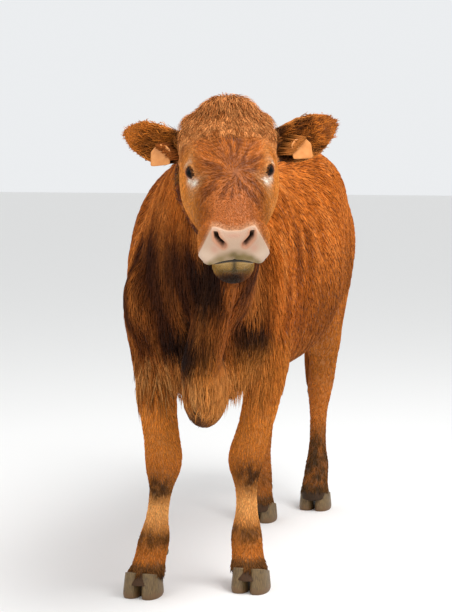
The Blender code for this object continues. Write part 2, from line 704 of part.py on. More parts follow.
def build():
    clear_scene()
    coat = material("coat_red_brown", (0.462, 0.122, 0.028), 0.8)
    horn = material("claw_grey_brown", (0.262, 0.174, 0.138), 0.55)
    eye_dark = material("eye_dark", (0.010, 0.007, 0.006), 0.08)
    orange = material("tag_orange", (0.871, 0.434, 0.117), 0.45)
    parts = {}

    flesh = whole_flesh()
    size = (1.6, 1.2, 1.6)
    neck_way = Vector((0.30, -0.80, 0.52)).normalized()
    parts["neck"] = part_off(flesh, "neck", size, facing(Vector((0.05, -0.600, 1.0)), neck_way, size))
    head_size = (0.6, 0.66, 0.56)
    head_middle = (0.0, head_size[1] / 2 - 0.045, -0.30 + head_size[2] / 2)
    head_place = head_matrix() @ Matrix.Translation(head_middle)
    parts["head"] = part_off(parts["neck"], "head", head_size, head_place)
    tail_place = Matrix.Translation((0.0, 0.828 + 0.15, 0.20 + 0.5))
    parts["tail"] = part_off(flesh, "tail", (0.12, 0.30, 1.10), tail_place)
    leg = (0.42, 0.26, 0.80)
    fore = {"foreleg_left": (0.295, -0.425, 0.205), "foreleg_right": (-0.250, -0.520, 0.205)}
    for name, middle in fore.items():
        parts[name] = part_off(flesh, name, leg, Matrix.Translation(middle))
    hind = (0.40, 0.80, 1.0)
    for name, side, step in (("hindleg_left", 1, 0.0), ("hindleg_right", -1, 0.6 * RIGHT_STEP)):
        rise = Matrix.Rotation(math.radians(14), 4, "X")
        place = Matrix.Translation((side * 0.223, 0.60 - step, 0.79)) @ rise
        place = place @ Matrix.Translation((0, 0, -0.5))
        parts[name] = part_off(flesh, name, hind, place)
    flesh.name = "trunk"
    parts["trunk"] = flesh

    for name, foot in (
        ("foreleg_left", FORE_LEFT),
        ("foreleg_right", FORE_RIGHT),
        ("hindleg_left", HIND_LEFT),
        ("hindleg_right", HIND_RIGHT),
    ):
        lean = Matrix.Rotation(-math.atan(CORONET_SLOPE), 4, "X")
        place = Matrix.Translation(foot + Vector((0, 0, CLAW_HEIGHT + CUT_GAP / 2))) @ lean
        below = place @ Matrix.Translation((0, 0, -0.1))
        boolean(parts[name], box("cutter", (0.5, 0.5, 0.2), below, 0.0), "DIFFERENCE")
        short = name.replace("leg", "")
        for side, word in ((-1, "a"), (1, "b")):
            claw = f"claw_{short}_{word}"
            parts[claw] = add_object(claw, claw_mesh(foot, side))
    for name, place in dewclaw_places():
        parts[name] = add_object(name, dewclaw_mesh(place))
        leg_name = name.replace("dewclaw_fore", "foreleg").replace("dewclaw_hind", "hindleg")[:-2]
        keep_clear(parts[leg_name], parts[name].data, CUT_GAP)
    for side, word in ((1, "left"), (-1, "right")):
        eye = f"eye_{word}"
        parts[eye] = add_object(eye, eye_mesh(side))
        keep_clear(parts["head"], parts[eye].data, CUT_GAP)
        boolean(parts["head"], add_object("cutter", lids_mesh(side)), "DIFFERENCE")
        ear = f"ear_{word}"
        parts[ear] = add_object(ear, ear_mesh(side))
        flag, button = tag_meshes(side)
        parts[f"tag_{word}"] = add_object(f"tag_{word}", flag)
        parts[f"tag_button_{word}"] = add_object(f"tag_button_{word}", button)
        boolean(parts["head"], add_object("cutter", nostril_mesh(side)), "DIFFERENCE")
    boolean(parts["head"], add_object("cutter", mouth_mesh()), "DIFFERENCE")
    for word in ("left", "right"):
        keep_clear(parts[f"ear_{word}"], parts["head"].data, CUT_GAP)
        keep_clear(parts[f"ear_{word}"], parts["neck"].data, CUT_GAP)
        for piece in ("tag", "tag_button"):
            keep_clear(parts[f"{piece}_{word}"], parts[f"ear_{word}"].data, CUT_GAP)

    for name, obj in parts.items():
        finish = coat
        if "claw" in name:
            finish = horn
        elif name.startswith("eye"):
            finish = eye_dark
        elif name.startswith("tag"):
            finish = orange
        obj.data.materials.clear()
        obj.data.materials.append(finish)
        obj.vertex_groups.clear()
    corners = np.concatenate([np.array([v.co for v in obj.data.vertices]) for obj in parts.values()])
    middle = (corners.min(axis=0) + corners.max(axis=0)) / 2
    home = Matrix.Translation((-middle[0], -middle[1], -corners[:, 2].min()))
    for obj in parts.values():
        obj.data.transform(home)


build()
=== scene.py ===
"""A still, life-size young red beef cow: one skin with its coat of locks, eyes, claws and ear tags.

Everything is worked out in the cow's own place (facing -Y, its left +X, up +Z, in metres), and moved home at
the end.
"""

import math

import bmesh
import bpy
import numpy as np
from mathutils import Matrix, Vector


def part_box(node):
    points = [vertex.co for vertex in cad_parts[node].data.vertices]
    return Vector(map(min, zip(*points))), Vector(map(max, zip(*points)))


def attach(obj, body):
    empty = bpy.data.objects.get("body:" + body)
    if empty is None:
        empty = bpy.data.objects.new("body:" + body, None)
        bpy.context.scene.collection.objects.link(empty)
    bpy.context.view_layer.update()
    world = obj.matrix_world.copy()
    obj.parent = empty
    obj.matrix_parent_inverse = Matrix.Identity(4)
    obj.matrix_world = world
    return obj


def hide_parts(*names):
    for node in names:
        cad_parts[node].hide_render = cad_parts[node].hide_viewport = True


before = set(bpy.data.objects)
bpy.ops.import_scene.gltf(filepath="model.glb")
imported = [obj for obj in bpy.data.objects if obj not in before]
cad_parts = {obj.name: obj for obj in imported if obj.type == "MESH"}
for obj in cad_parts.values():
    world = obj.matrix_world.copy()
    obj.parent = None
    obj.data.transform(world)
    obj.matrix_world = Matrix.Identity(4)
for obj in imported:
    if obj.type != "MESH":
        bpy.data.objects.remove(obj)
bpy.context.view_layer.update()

# ---- Driving sizes, in metres ----
WITHERS_HEIGHT = 1.27
RING_POINTS = 40

# Head carriage: the head looks to the cow's left, nose down, leaning a little.
HEAD_YAW = math.radians(18.3)
HEAD_PITCH = math.radians(42.0)
HEAD_ROLL = math.radians(1.7)
POLL = Vector((0.194, -0.875, 1.392))
EYE_RADIUS = 0.0205
EYE_PLACE = Vector((0.0885, 0.203, -0.054))  # to the side, towards the nose, up from the brow
EYE_AXIS = Vector((0.64, 0.50, 0.58)).normalized()  # the way the left eye's opening faces
EYE_SLIT = Vector((-0.40, 1.00, -0.35))  # from the outer to the inner corner
EAR_ROOT = Vector((0.100, 0.078, -0.095))
EAR_ALONG_LEFT = Vector((0.885, -0.480, -0.050)).normalized()
EAR_ALONG_RIGHT = Vector((0.828, -0.540, -0.152)).normalized()
EAR_OPENING = Vector((0.30, 0.62, 0.72))
EAR_LENGTH = {1: 0.219, -1: 0.205}
TAG_SHARE = {1: 0.44, -1: 0.39}  # where along each ear its tag hangs
TAG_TURN = {1: math.radians(15), -1: math.radians(19)}  # how far each tag swings towards the ear's root
TAG_DROP = 0.005  # how far below the ear's middle line its pin sits
EAR_LOWER = {1: 1.0, -1: 0.84}  # the ear turned back a little shows a narrower lower half
# Columns: share of the length, half width, drop of the middle, depth of the cup, thickness
EAR = (
    (0.00, 0.030, 0.000, 0.034, 0.018),
    (0.12, 0.040, 0.002, 0.036, 0.014),
    (0.28, 0.052, 0.006, 0.034, 0.010),
    (0.45, 0.058, 0.007, 0.029, 0.009),
    (0.62, 0.055, 0.004, 0.023, 0.008),
    (0.78, 0.046, 0.000, 0.017, 0.008),
    (0.90, 0.032, -0.002, 0.012, 0.007),
    (0.97, 0.018, -0.003, 0.008, 0.006),
    (1.00, 0.008, -0.003, 0.006, 0.005),
)
TAG_WIDTH = 0.057
TAG_HEIGHT = 0.052
TAG_THICKNESS = 0.0024
CLAW_HEIGHT = 0.062
CLAW_SPLIT = 0.0016  # half the cleft between a foot's two claws

# Where each foot stands: the middle of the hoof on the floor.
FORE_LEFT = Vector((0.140, -0.445, 0.0))
FORE_RIGHT = Vector((-0.141, -0.584, 0.0))
HIND_LEFT = Vector((0.069, 0.648, 0.0))
HIND_RIGHT = Vector((-0.069, 0.416, 0.0))
CORONET_SLOPE = 0.28  # the coronet drops this much for each metre towards the heel

# Columns: distance back, top, bottom, half width, height of the widest place, roundness of the top
TRUNK = (
    (-0.745, 0.88, 0.76, 0.04, 0.82, 2.0),
    (-0.69, 0.99, 0.66, 0.120, 0.83, 2.0),
    (-0.60, 1.12, 0.595, 0.200, 0.88, 2.1),
    (-0.48, 1.220, 0.580, 0.236, 0.90, 2.4),
    (-0.36, WITHERS_HEIGHT - 0.01, 0.580, 0.246, 0.90, 2.45),
    (-0.20, 1.245, 0.578, 0.252, 0.88, 2.35),
    (0.00, 1.232, 0.572, 0.272, 0.885, 2.25),
    (0.15, 1.236, 0.585, 0.275, 0.90, 2.3),
    (0.28, 1.256, 0.630, 0.254, 0.93, 2.6),
    (0.40, 1.278, 0.700, 0.225, 0.98, 2.8),
    (0.52, 1.280, 0.740, 0.212, 1.00, 2.7),
    (0.64, 1.256, 0.775, 0.184, 1.02, 2.5),
    (0.74, 1.205, 0.82, 0.135, 1.03, 2.2),
    (0.800, 1.14, 0.91, 0.06, 1.03, 2.0),
)
# Columns: centre x, y, z, half width, reach above, reach below
NECK = (
    (0.000, -0.36, 0.92, 0.170, 0.29, 0.30),
    (0.005, -0.47, 0.95, 0.180, 0.285, 0.31),
    (0.035, -0.575, 1.00, 0.166, 0.262, 0.29),
    (0.082, -0.675, 1.06, 0.138, 0.235, 0.290),
    (0.134, -0.765, 1.125, 0.118, 0.205, 0.262),
    (0.178, -0.835, 1.185, 0.107, 0.180, 0.220),
    (0.205, -0.895, 1.235, 0.100, 0.150, 0.160),
)
# Columns: distance from the poll to the nose, top, bottom, half width, roundness
HEAD = (
    (-0.040, -0.054, -0.120, 0.060, 2.0),
    (-0.010, -0.016, -0.200, 0.104, 2.3),
    (0.030, 0.002, -0.240, 0.121, 2.3),
    (0.080, 0.010, -0.266, 0.126, 2.3),
    (0.130, 0.010, -0.276, 0.128, 2.4),
    (0.180, 0.003, -0.268, 0.128, 2.2),
    (0.230, -0.005, -0.248, 0.120, 2.2),
    (0.280, -0.011, -0.222, 0.102, 2.4),
    (0.330, -0.014, -0.206, 0.083, 2.4),
    (0.370, -0.014, -0.200, 0.076, 2.4),
    (0.405, -0.014, -0.196, 0.083, 2.5),
    (0.430, -0.019, -0.182, 0.091, 2.6),
    (0.450, -0.032, -0.162, 0.087, 2.6),
    (0.463, -0.050, -0.138, 0.068, 2.4),
    (0.470, -0.070, -0.110, 0.036, 2.0),
)
# Columns: height, half width, half length of the section
FORELEG_FORM = (
    (0.98, 0.040, 0.100),
    (0.85, 0.070, 0.150),
    (0.75, 0.070, 0.138),
    (0.67, 0.064, 0.108),
    (0.59, 0.058, 0.084),
    (0.52, 0.053, 0.066),
    (0.45, 0.052, 0.056),
    (0.40, 0.055, 0.054),
    (0.355, 0.049, 0.050),
    (0.315, 0.0365, 0.040),
    (0.27, 0.0320, 0.035),
    (0.215, 0.0345, 0.036),
    (0.175, 0.0430, 0.043),
    (0.14, 0.0480, 0.049),
    (0.11, 0.0465, 0.047),
    (0.085, 0.0500, 0.050),
    (0.035, 0.0540, 0.060),
)
# Columns: height, x and y of the section's middle, for the cow's left and right foreleg
FORELEG_LEFT = (
    (0.98, 0.150, -0.44), (0.85, 0.160, -0.49), (0.70, 0.178, -0.415), (0.52, 0.158, -0.428),
    (0.385, 0.120, -0.428), (0.25, 0.116, -0.408), (0.13, 0.117, -0.410), (0.035, 0.138, -0.450),
)
FORELEG_RIGHT = (
    (0.98, -0.120, -0.47), (0.85, -0.128, -0.52), (0.70, -0.132, -0.485), (0.54, -0.112, -0.535),
    (0.385, -0.086, -0.562), (0.25, -0.107, -0.550), (0.13, -0.127, -0.546), (0.035, -0.140, -0.588),
)
# Columns: height, middle x, front y, back y, half width
HINDLEG = (
    (1.14, 0.076, 0.42, 0.775, 0.088),
    (1.02, 0.100, 0.35, 0.820, 0.102),
    (0.90, 0.108, 0.29, 0.832, 0.100),
    (0.80, 0.108, 0.285, 0.812, 0.086),
    (0.72, 0.107, 0.315, 0.775, 0.076),
    (0.65, 0.100, 0.42, 0.752, 0.068),
    (0.58, 0.098, 0.515, 0.748, 0.057),
    (0.525, 0.088, 0.580, 0.764, 0.047),
    (0.47, 0.080, 0.612, 0.762, 0.046),
    (0.42, 0.075, 0.628, 0.735, 0.044),
    (0.36, 0.074, 0.634, 0.704, 0.035),
    (0.28, 0.073, 0.632, 0.692, 0.031),
    (0.21, 0.073, 0.624, 0.690, 0.034),
    (0.16, 0.073, 0.612, 0.695, 0.043),
    (0.12, 0.072, 0.598, 0.686, 0.045),
    (0.085, 0.070, 0.584, 0.680, 0.048),
    (0.035, 0.069, 0.575, 0.700, 0.051),
)
# The right hind foot is set this much further forward than the left one
RIGHT_STEP = HIND_LEFT.y - HIND_RIGHT.y
# Columns: centre x, y, z, half width, reach to the front and to the back: the fold under the throat and neck
DEWLAP = (
    (0.240, -0.975, 1.060, 0.034, 0.03, 0.05),
    (0.200, -0.925, 0.970, 0.030, 0.045, 0.08),
    (0.155, -0.875, 0.870, 0.034, 0.05, 0.10),
    (0.115, -0.820, 0.770, 0.044, 0.055, 0.13),
    (0.090, -0.745, 0.684, 0.060, 0.06, 0.15),
    (0.076, -0.665, 0.636, 0.062, 0.06, 0.13),
    (0.066, -0.585, 0.606, 0.048, 0.05, 0.09),
)
# Columns: centre x, y, z, half width
TAIL = (
    (0.0, 0.64, 1.215, 0.060),
    (0.0, 0.750, 1.218, 0.045),
    (0.0, 0.835, 1.190, 0.031),
    (0.0, 0.880, 1.110, 0.025),
    (0.0, 0.890, 0.950, 0.021),
    (0.0, 0.882, 0.770, 0.019),
    (0.0, 0.876, 0.640, 0.024),
    (0.0, 0.872, 0.540, 0.034),
    (0.0, 0.872, 0.460, 0.031),
    (0.0, 0.874, 0.395, 0.016),
)


# ---- Shape helpers ----
def smooth_table(rows, count):
    """The table's rows at `count` even steps of its first column or path, joined by a smooth cubic curve."""
    known = np.array(rows, float)
    steps = np.linalg.norm(np.diff(known[:, :3], axis=0), axis=1)
    along = np.concatenate([[0.0], np.cumsum(steps)])
    return smooth_at(along, known, np.linspace(0.0, along[-1], count))


def smooth_at(along, known, wanted):
    """Cubic Hermite values of `known`, given at `along`, at each place in `wanted`."""
    slopes = np.gradient(known, along, axis=0)
    i = np.clip(np.searchsorted(along, wanted) - 1, 0, len(along) - 2)
    width = (along[i + 1] - along[i])[:, None]
    t = ((wanted - along[i]) / (along[i + 1] - along[i]))[:, None]
    return (
        (2 * t**3 - 3 * t**2 + 1) * known[i]
        + (t**3 - 2 * t**2 + t) * width * slopes[i]
        + (3 * t**2 - 2 * t**3) * known[i + 1]
        + (t**3 - t**2) * width * slopes[i + 1]
    )


def rounded(count, power):
    """Cosine and sine of a superellipse: power 2 is round, above that it is boxy."""
    angle = np.linspace(0.0, 2 * math.pi, count, endpoint=False)
    power = np.asarray(power, float)[..., None]
    c, s = np.cos(angle), np.sin(angle)
    return np.sign(c) * np.abs(c) ** (2 / power), np.sign(s) * np.abs(s) ** (2 / power)


def loft(rings):
    """A closed mesh through the rings, an array of ring, point, xyz, with flat ends."""
    rings = np.asarray(rings, float)
    count, points = rings.shape[:2]
    first = np.arange(count - 1)[:, None] * points + np.arange(points)[None]
    nxt = np.arange(count - 1)[:, None] * points + (np.arange(points)[None] + 1) % points
    quads = np.stack([first, nxt, nxt + points, first + points], axis=-1).reshape(-1, 4).tolist()
    ends = [list(range(points))[::-1], list(range((count - 1) * points, count * points))]
    mesh = bpy.data.meshes.new("form")
    mesh.from_pydata(rings.reshape(-1, 3).tolist(), [], quads + ends)
    shape = bmesh.new()
    shape.from_mesh(mesh)
    bmesh.ops.recalc_face_normals(shape, faces=shape.faces)
    shape.to_mesh(mesh)
    shape.free()
    return mesh


def ellipsoid(centre, radii, turn=(0.0, 0.0, 0.0), detail=3):
    mesh = bpy.data.meshes.new("form")
    shape = bmesh.new()
    bmesh.ops.create_icosphere(shape, subdivisions=detail, radius=1.0)
    spin = Matrix.Rotation(turn[2], 4, "Z") @ Matrix.Rotation(turn[1], 4, "Y")
    spin = spin @ Matrix.Rotation(turn[0], 4, "X")
    shape.transform(Matrix.Translation(centre) @ spin @ Matrix.Diagonal((*radii, 1.0)))
    shape.to_mesh(mesh)
    shape.free()
    return mesh


def path_rings(rows, front_back=False):
    """Rings square to a path. Rows hold centre, half width, and the reach to each side of it."""
    table = smooth_table(rows, 3 * len(rows))
    centres = table[:, :3]
    tangent = np.gradient(centres, axis=0)
    tangent /= np.linalg.norm(tangent, axis=1)[:, None]
    side = np.cross(tangent, [0.0, 0.0, 1.0])
    if np.abs(side).max() < 0.3 or front_back:
        side = np.tile([1.0, 0.0, 0.0], (len(centres), 1))
    side /= np.linalg.norm(side, axis=1)[:, None]
    lift = np.cross(side, tangent)
    c, s = rounded(RING_POINTS, np.full(len(centres), 2.2))
    above, below = (table[:, 4], table[:, 5]) if table.shape[1] > 5 else (table[:, 3], table[:, 3])
    reach = np.where(s > 0, above[:, None], below[:, None]) * s
    across = side[:, None] * (table[:, 3, None] * c)[..., None]
    return centres[:, None] + across + lift[:, None] * reach[..., None]


def body_bend(y):
    """How far the spine curves to the cow's left in front of the ribs."""
    return 0.035 * np.clip((-0.25 - y) / 0.37, 0.0, 1.3) ** 2


# ---- Forms of the flesh ----
def trunk_form():
    table = smooth_table(TRUNK, 48)
    y, top, bottom, width, widest, power = table.T
    c, s = rounded(RING_POINTS, power)
    x = body_bend(y)[:, None] + width[:, None] * c
    z = widest[:, None] + np.where(s > 0, (top - widest)[:, None], (widest - bottom)[:, None]) * s
    return loft(np.stack([x, np.broadcast_to(y[:, None], x.shape), z], axis=-1))


def head_matrix():
    """From the head's own axes (to its left, forward to the nose, up from the brow) to the cow's."""
    heading = Vector((math.sin(HEAD_YAW), -math.cos(HEAD_YAW), 0.0))
    nose = heading * math.cos(HEAD_PITCH) - Vector((0, 0, math.sin(HEAD_PITCH)))
    brow = heading * math.sin(HEAD_PITCH) + Vector((0, 0, math.cos(HEAD_PITCH)))
    left = nose.cross(brow) * -1.0
    axes = Matrix((left, nose, brow)).transposed().to_4x4()
    lean = Matrix.Rotation(HEAD_ROLL, 4, heading)
    return Matrix.Translation(POLL) @ lean @ axes


def head_form():
    table = smooth_table(HEAD, 44)
    s_along, top, bottom, width, power = table.T
    middle = (0.42 * top + 0.58 * bottom) * 0.8
    c, s = rounded(RING_POINTS, power)
    x = width[:, None] * c
    z = middle[:, None] + np.where(s > 0, (top - middle)[:, None], (middle - bottom)[:, None]) * s
    # The lower jaw is narrower than the upper lip.
    below = np.clip((-0.112 - z) / 0.026, 0.0, 1.0) * np.clip((s_along[:, None] - 0.34) / 0.07, 0.0, 1.0)
    x = x * (1.0 - 0.34 * below)
    return on_head(loft(np.stack([x, np.broadcast_to(s_along[:, None], x.shape), z], axis=-1)))


def on_head(mesh):
    """Carry a mesh from the head's own axes, which are left-handed, to the cow's."""
    mesh.transform(head_matrix())
    mesh.flip_normals()
    return mesh


def face_forms():
    """Bony rings round the eyes, cheeks, muzzle, lobes of the upper lip, ear roots, chin and poll."""
    forms = []
    for side in (-1, 1):
        forms.append(on_head(ellipsoid((side * 0.074, 0.165, -0.050), (0.034, 0.058, 0.046))))
        forms.append(on_head(ellipsoid((side * 0.078, 0.140, -0.175), (0.046, 0.095, 0.085))))
        forms.append(on_head(ellipsoid((side * 0.046, 0.422, -0.062), (0.046, 0.038, 0.048))))
        forms.append(on_head(ellipsoid((side * 0.060, 0.419, -0.108), (0.027, 0.033, 0.042))))
        forms.append(on_head(ellipsoid((side * 0.098, 0.062, -0.085), (0.036, 0.040, 0.044))))
    forms.append(on_head(ellipsoid((0.0, 0.396, -0.186), (0.057, 0.056, 0.047))))
    forms.append(on_head(ellipsoid((0.003, 0.020, -0.026), (0.076, 0.064, 0.048))))
    return forms


def foreleg_form(places):
    form = smooth_table(FORELEG_FORM, 60)
    levels = form[:, 0]
    known = np.array(places, float)[::-1]
    centre = smooth_at(known[:, 0], known, np.clip(levels, known[0, 0], known[-1, 0]))
    c, s = rounded(RING_POINTS, np.full(len(levels), 2.2))
    x = centre[:, 1, None] + form[:, 1, None] * c
    y = centre[:, 2, None] + form[:, 2, None] * s
    return loft(np.stack([x, y, np.broadcast_to(levels[:, None], x.shape)], axis=-1))


def hindleg_form(side, step):
    table = smooth_table(HINDLEG, 64)
    level, middle, front, back, width = table.T
    share = np.clip((1.02 - level) / 0.86, 0.0, 1.0)
    shift = step * share**1.15
    c, s = rounded(RING_POINTS, np.full(len(level), 2.15))
    x = side * middle[:, None] + width[:, None] * c
    y = ((front + back) / 2 - shift)[:, None] + ((back - front) / 2)[:, None] * s
    return loft(np.stack([x, y, np.broadcast_to(level[:, None], x.shape)], axis=-1))


def bone_forms():
    """Shoulder blades and points, hip bones, pin bones, stifles, udder and brisket."""
    forms = [ellipsoid((0.062, -0.590, 0.665), (0.114, 0.120, 0.094))]
    for side in (-1, 1):
        bend = float(body_bend(-0.50))
        blade = (math.radians(-16), 0, 0)
        forms.append(ellipsoid((bend + side * 0.138, -0.450, 0.960), (0.086, 0.125, 0.240), blade))
        forms.append(ellipsoid((bend + side * 0.128, -0.580, 0.858), (0.080, 0.108, 0.120)))
        forms.append(ellipsoid((side * 0.136, 0.365, 1.165), (0.066, 0.110, 0.080)))
        forms.append(ellipsoid((side * 0.072, 0.745, 1.095), (0.052, 0.075, 0.070)))
        forms.append(ellipsoid((side * 0.132, 0.345, 0.795), (0.068, 0.090, 0.115)))
    forms.append(ellipsoid((0.0, 0.375, 0.690), (0.062, 0.100, 0.052)))
    return forms


def round_path(rows):
    table = smooth_table(rows, 4 * len(rows))
    centres = table[:, :3]
    tangent = np.gradient(centres, axis=0)
    tangent /= np.linalg.norm(tangent, axis=1)[:, None]
    side = np.tile([1.0, 0.0, 0.0], (len(centres), 1))
    lift = np.cross(tangent, side)
    angle = np.linspace(0.0, 2 * math.pi, RING_POINTS, endpoint=False)
    offset = side[:, None] * np.cos(angle)[None, :, None] + lift[:, None] * np.sin(angle)[None, :, None]
    return loft(centres[:, None] + offset * table[:, 3, None, None])


def add_object(name, mesh):
    mesh.name = name
    obj = bpy.data.objects.new(name, mesh)
    bpy.context.scene.collection.objects.link(obj)
    return obj


def settle(obj):
    """Replace the object's mesh by the result of its modifiers."""
    bpy.context.view_layer.update()
    done = bpy.data.meshes.new_from_object(obj.evaluated_get(bpy.context.evaluated_depsgraph_get()))
    obj.modifiers.clear()
    obj.data = done
    return obj


def ear_axes(side):
    """The way along the ear, across it and out of its opening, on the head's left."""
    along = EAR_ALONG_LEFT if side > 0 else EAR_ALONG_RIGHT
    opening = (EAR_OPENING - EAR_OPENING.dot(along) * along).normalized()
    return along, opening.cross(along), opening


def dewclaw_places():
    """Two for each foot, behind the fetlock."""
    for foot, back, middle in (
        ("fore_left", -0.366, 0.118),
        ("fore_right", -0.500, -0.129),
        ("hind_left", 0.682, 0.071),
        ("hind_right", 0.682 - RIGHT_STEP, -0.071),
    ):
        for side, word in ((-1, "a"), (1, "b")):
            yield f"dewclaw_{foot}_{word}", Vector((middle + side * 0.021, back, 0.112))


# ---- Regions of the animal, and the sizes that skin and coat share, in metres ----
TRUNK_R, NECK_R, HEAD_R, EAR_L, EAR_R, FORE_L, FORE_R, HIND_L, HIND_R, TAIL_R = range(10)
COAT_DEPTH = (0.0060, 0.0070, 0.0030, 0.0020, 0.0020, 0.0032, 0.0032, 0.0032, 0.0032, 0.0040)  # in that order
BARE_DEPTH = 0.0006
SKIN_VOXEL = 0.0045
RELAX_STEPS = 130
BODY_SKIN_TRIANGLES = 60000
KEEL = 0.062  # how far to the left the brisket's keel hangs
WHORL = (0.012, 0.250)  # where the hair of the forehead parts: to the left, from the poll
MEETING = 0.143  # where the poll's hair meets the forehead's
EYE_OPENING = (0.0160, 0.0108, 0.0100)  # half length, reach of the upper and of the lower lid
LID_POWER = 1.7  # 2 would make the eye's opening an ellipse, and 1 a lozenge
NOSTRIL = ((0.0442, -0.0240), (0.0425, -0.0350), (0.0357, -0.0425), (0.0262, -0.0515))
ROOT_DEPTH = 0.0008  # how far a lock starts below the skin
LOCK_SWELL = (0.75, 1.0, 0.82, 0.55, 0.4)  # the width of a lock's rings, from the root
PATCH = 0.003  # side of a lock's patch on the map for baked colours, as a share of the map
random = np.random.default_rng(20)


# ---- Small helpers ----
def unit(v):
    return v / np.maximum(np.linalg.norm(v, axis=-1, keepdims=True), 1e-12)


def step(low, high, x):
    """A smooth step from 0 at low to 1 at high."""
    t = np.clip((x - low) / (high - low), 0.0, 1.0)
    return t * t * (3 - 2 * t)


def peak(value, place, spread):
    """A soft hump: 1 where the value is at its place, and e to the minus 1 one spread away from it."""
    return np.exp(-(((value - place) / spread) ** 2))


def tint(code):
    """An sRGB hex colour as linear red, green and blue."""
    c = np.array([int(code[i:i + 2], 16) for i in (1, 3, 5)]) / 255.0
    return np.where(c <= 0.04045, c / 12.92, ((c + 0.055) / 1.055) ** 2.4)


def mottle(p, size, seed=1):
    """Smooth noise from -1 to 1: a value at each corner of a lattice of `size`, blended by cubic steps. The
    value is a whole-number hash of the corner and the seed, so the same place has the same noise."""
    q = p / np.asarray(size, float) + 31.7 * seed
    cell = np.floor(q).astype(np.int64)
    t = q - cell
    t = t * t * (3 - 2 * t)
    total = np.zeros(len(p))
    for corner in range(8):
        offset = np.array([corner & 1, corner >> 1 & 1, corner >> 2])
        c = cell + offset
        n = (c[:, 0] * 73856093) ^ (c[:, 1] * 19349663) ^ (c[:, 2] * 83492791) ^ (seed * 668265263)
        n = ((n & 0xFFFFFFFF) ^ ((n & 0xFFFFFFFF) >> 13)) * 1274126177 & 0xFFFFFFFF
        total += np.prod(np.where(offset, t, 1 - t), axis=1) * (n / 0x7FFFFFFF - 1)
    return total


HEAD_TURN = np.array(head_matrix())[:3, :3]
HEAD_PLACE = np.array(head_matrix())[:3, 3]


def to_head(p):
    """Places in the head's own axes: to its left, from the poll to the nose, up from the brow."""
    return (p - HEAD_PLACE) @ np.linalg.inv(HEAD_TURN).T


def from_head(q):
    return q @ HEAD_TURN.T + HEAD_PLACE


def to_left(q):
    """Places of the head folded over to its left, and the side they come from: 1 left, -1 right."""
    side = np.where(q[:, 0] > 0, 1.0, -1.0)
    return np.stack([q[:, 0] * side, q[:, 1], q[:, 2]], axis=1), side


def mesh_of(name, points, *faces):
    """A mesh from whole arrays: its points, and sets of faces with one row for each face."""
    corners = np.concatenate([np.asarray(f, np.int32).ravel() for f in faces])
    sizes = np.concatenate([np.full(len(f), np.shape(f)[1], np.int32) for f in faces])
    mesh = bpy.data.meshes.new(name)
    mesh.vertices.add(len(points))
    mesh.vertices.foreach_set("co", np.asarray(points, np.float32).ravel())
    mesh.loops.add(len(corners))
    mesh.loops.foreach_set("vertex_index", corners)
    mesh.polygons.add(len(sizes))
    mesh.polygons.foreach_set("loop_start", (np.cumsum(sizes) - sizes).astype(np.int32))
    mesh.update(calc_edges=True)
    mesh.shade_smooth()
    return mesh


def outwards(mesh):
    """Turn the faces of a closed mesh outwards."""
    shape = bmesh.new()
    shape.from_mesh(mesh)
    bmesh.ops.recalc_face_normals(shape, faces=shape.faces)
    if shape.calc_volume(signed=True) < 0:
        bmesh.ops.reverse_faces(shape, faces=shape.faces)
    shape.to_mesh(mesh)
    shape.free()
    return mesh


def tube_faces(rings, turns):
    """Faces of a closed tube: quads between rings of points, and a fan to each of the two points that follow
    the rings, the first ring's and then the last ring's."""
    ring = np.arange(turns)
    first = np.arange(rings - 1)[:, None] * turns + ring
    following = np.roll(first, -1, axis=1)
    quads = np.stack([first, following, following + turns, first + turns], axis=-1).reshape(-1, 4)
    last = (rings - 1) * turns + ring
    start, end = np.full(turns, rings * turns), np.full(turns, rings * turns + 1)
    fan_at_start = np.stack([start, np.roll(ring, -1), ring], axis=1)
    fan_at_end = np.stack([end, last, np.roll(last, -1)], axis=1)
    return quads, np.concatenate([fan_at_start, fan_at_end])


def places(mesh):
    co = np.empty(len(mesh.vertices) * 3, np.float32)
    mesh.vertices.foreach_get("co", co)
    return co.reshape(-1, 3).astype(float)


def normals(mesh):
    n = np.empty(len(mesh.vertices) * 3, np.float32)
    mesh.vertex_normals.foreach_get("vector", n)
    return n.reshape(-1, 3).astype(float)


def triangles(mesh):
    """The corners of each face of a mesh of triangles."""
    index = np.empty(len(mesh.loops), np.int32)
    mesh.loops.foreach_get("vertex_index", index)
    return index.reshape(-1, 3)


def move_to(mesh, co):
    mesh.vertices.foreach_set("co", np.asarray(co, np.float32).ravel())
    mesh.update()


def paint(mesh, colours):
    """The colours and painted light of a mesh: a colour for each point."""
    layer = mesh.color_attributes.new("MarkingsAndPaintedLight", "FLOAT_COLOR", "POINT")
    rgba = np.ones((len(colours), 4), np.float32)
    rgba[:, :3] = colours
    layer.data.foreach_set("color", rgba.ravel())


def uv_map(mesh, spots):
    """The map for baked colours, from one place for each face corner."""
    mesh.uv_layers.new(name="OFBake").data.foreach_set("uv", np.asarray(spots, np.float32).ravel())


# ---- Where a place on the animal belongs ----
def ear_frame(side):
    """The ear's axes as rows: along it, across it and out of its opening."""
    return np.array([list(axis) for axis in ear_axes(side)])


def ear_place(q):
    """Along the ear, across it and out of its opening, and the side, for places in the head's axes."""
    folded, side = to_left(q)
    folded = folded - np.array(EAR_ROOT)
    return np.where(side[:, None] > 0, folded @ ear_frame(1).T, folded @ ear_frame(-1).T), side


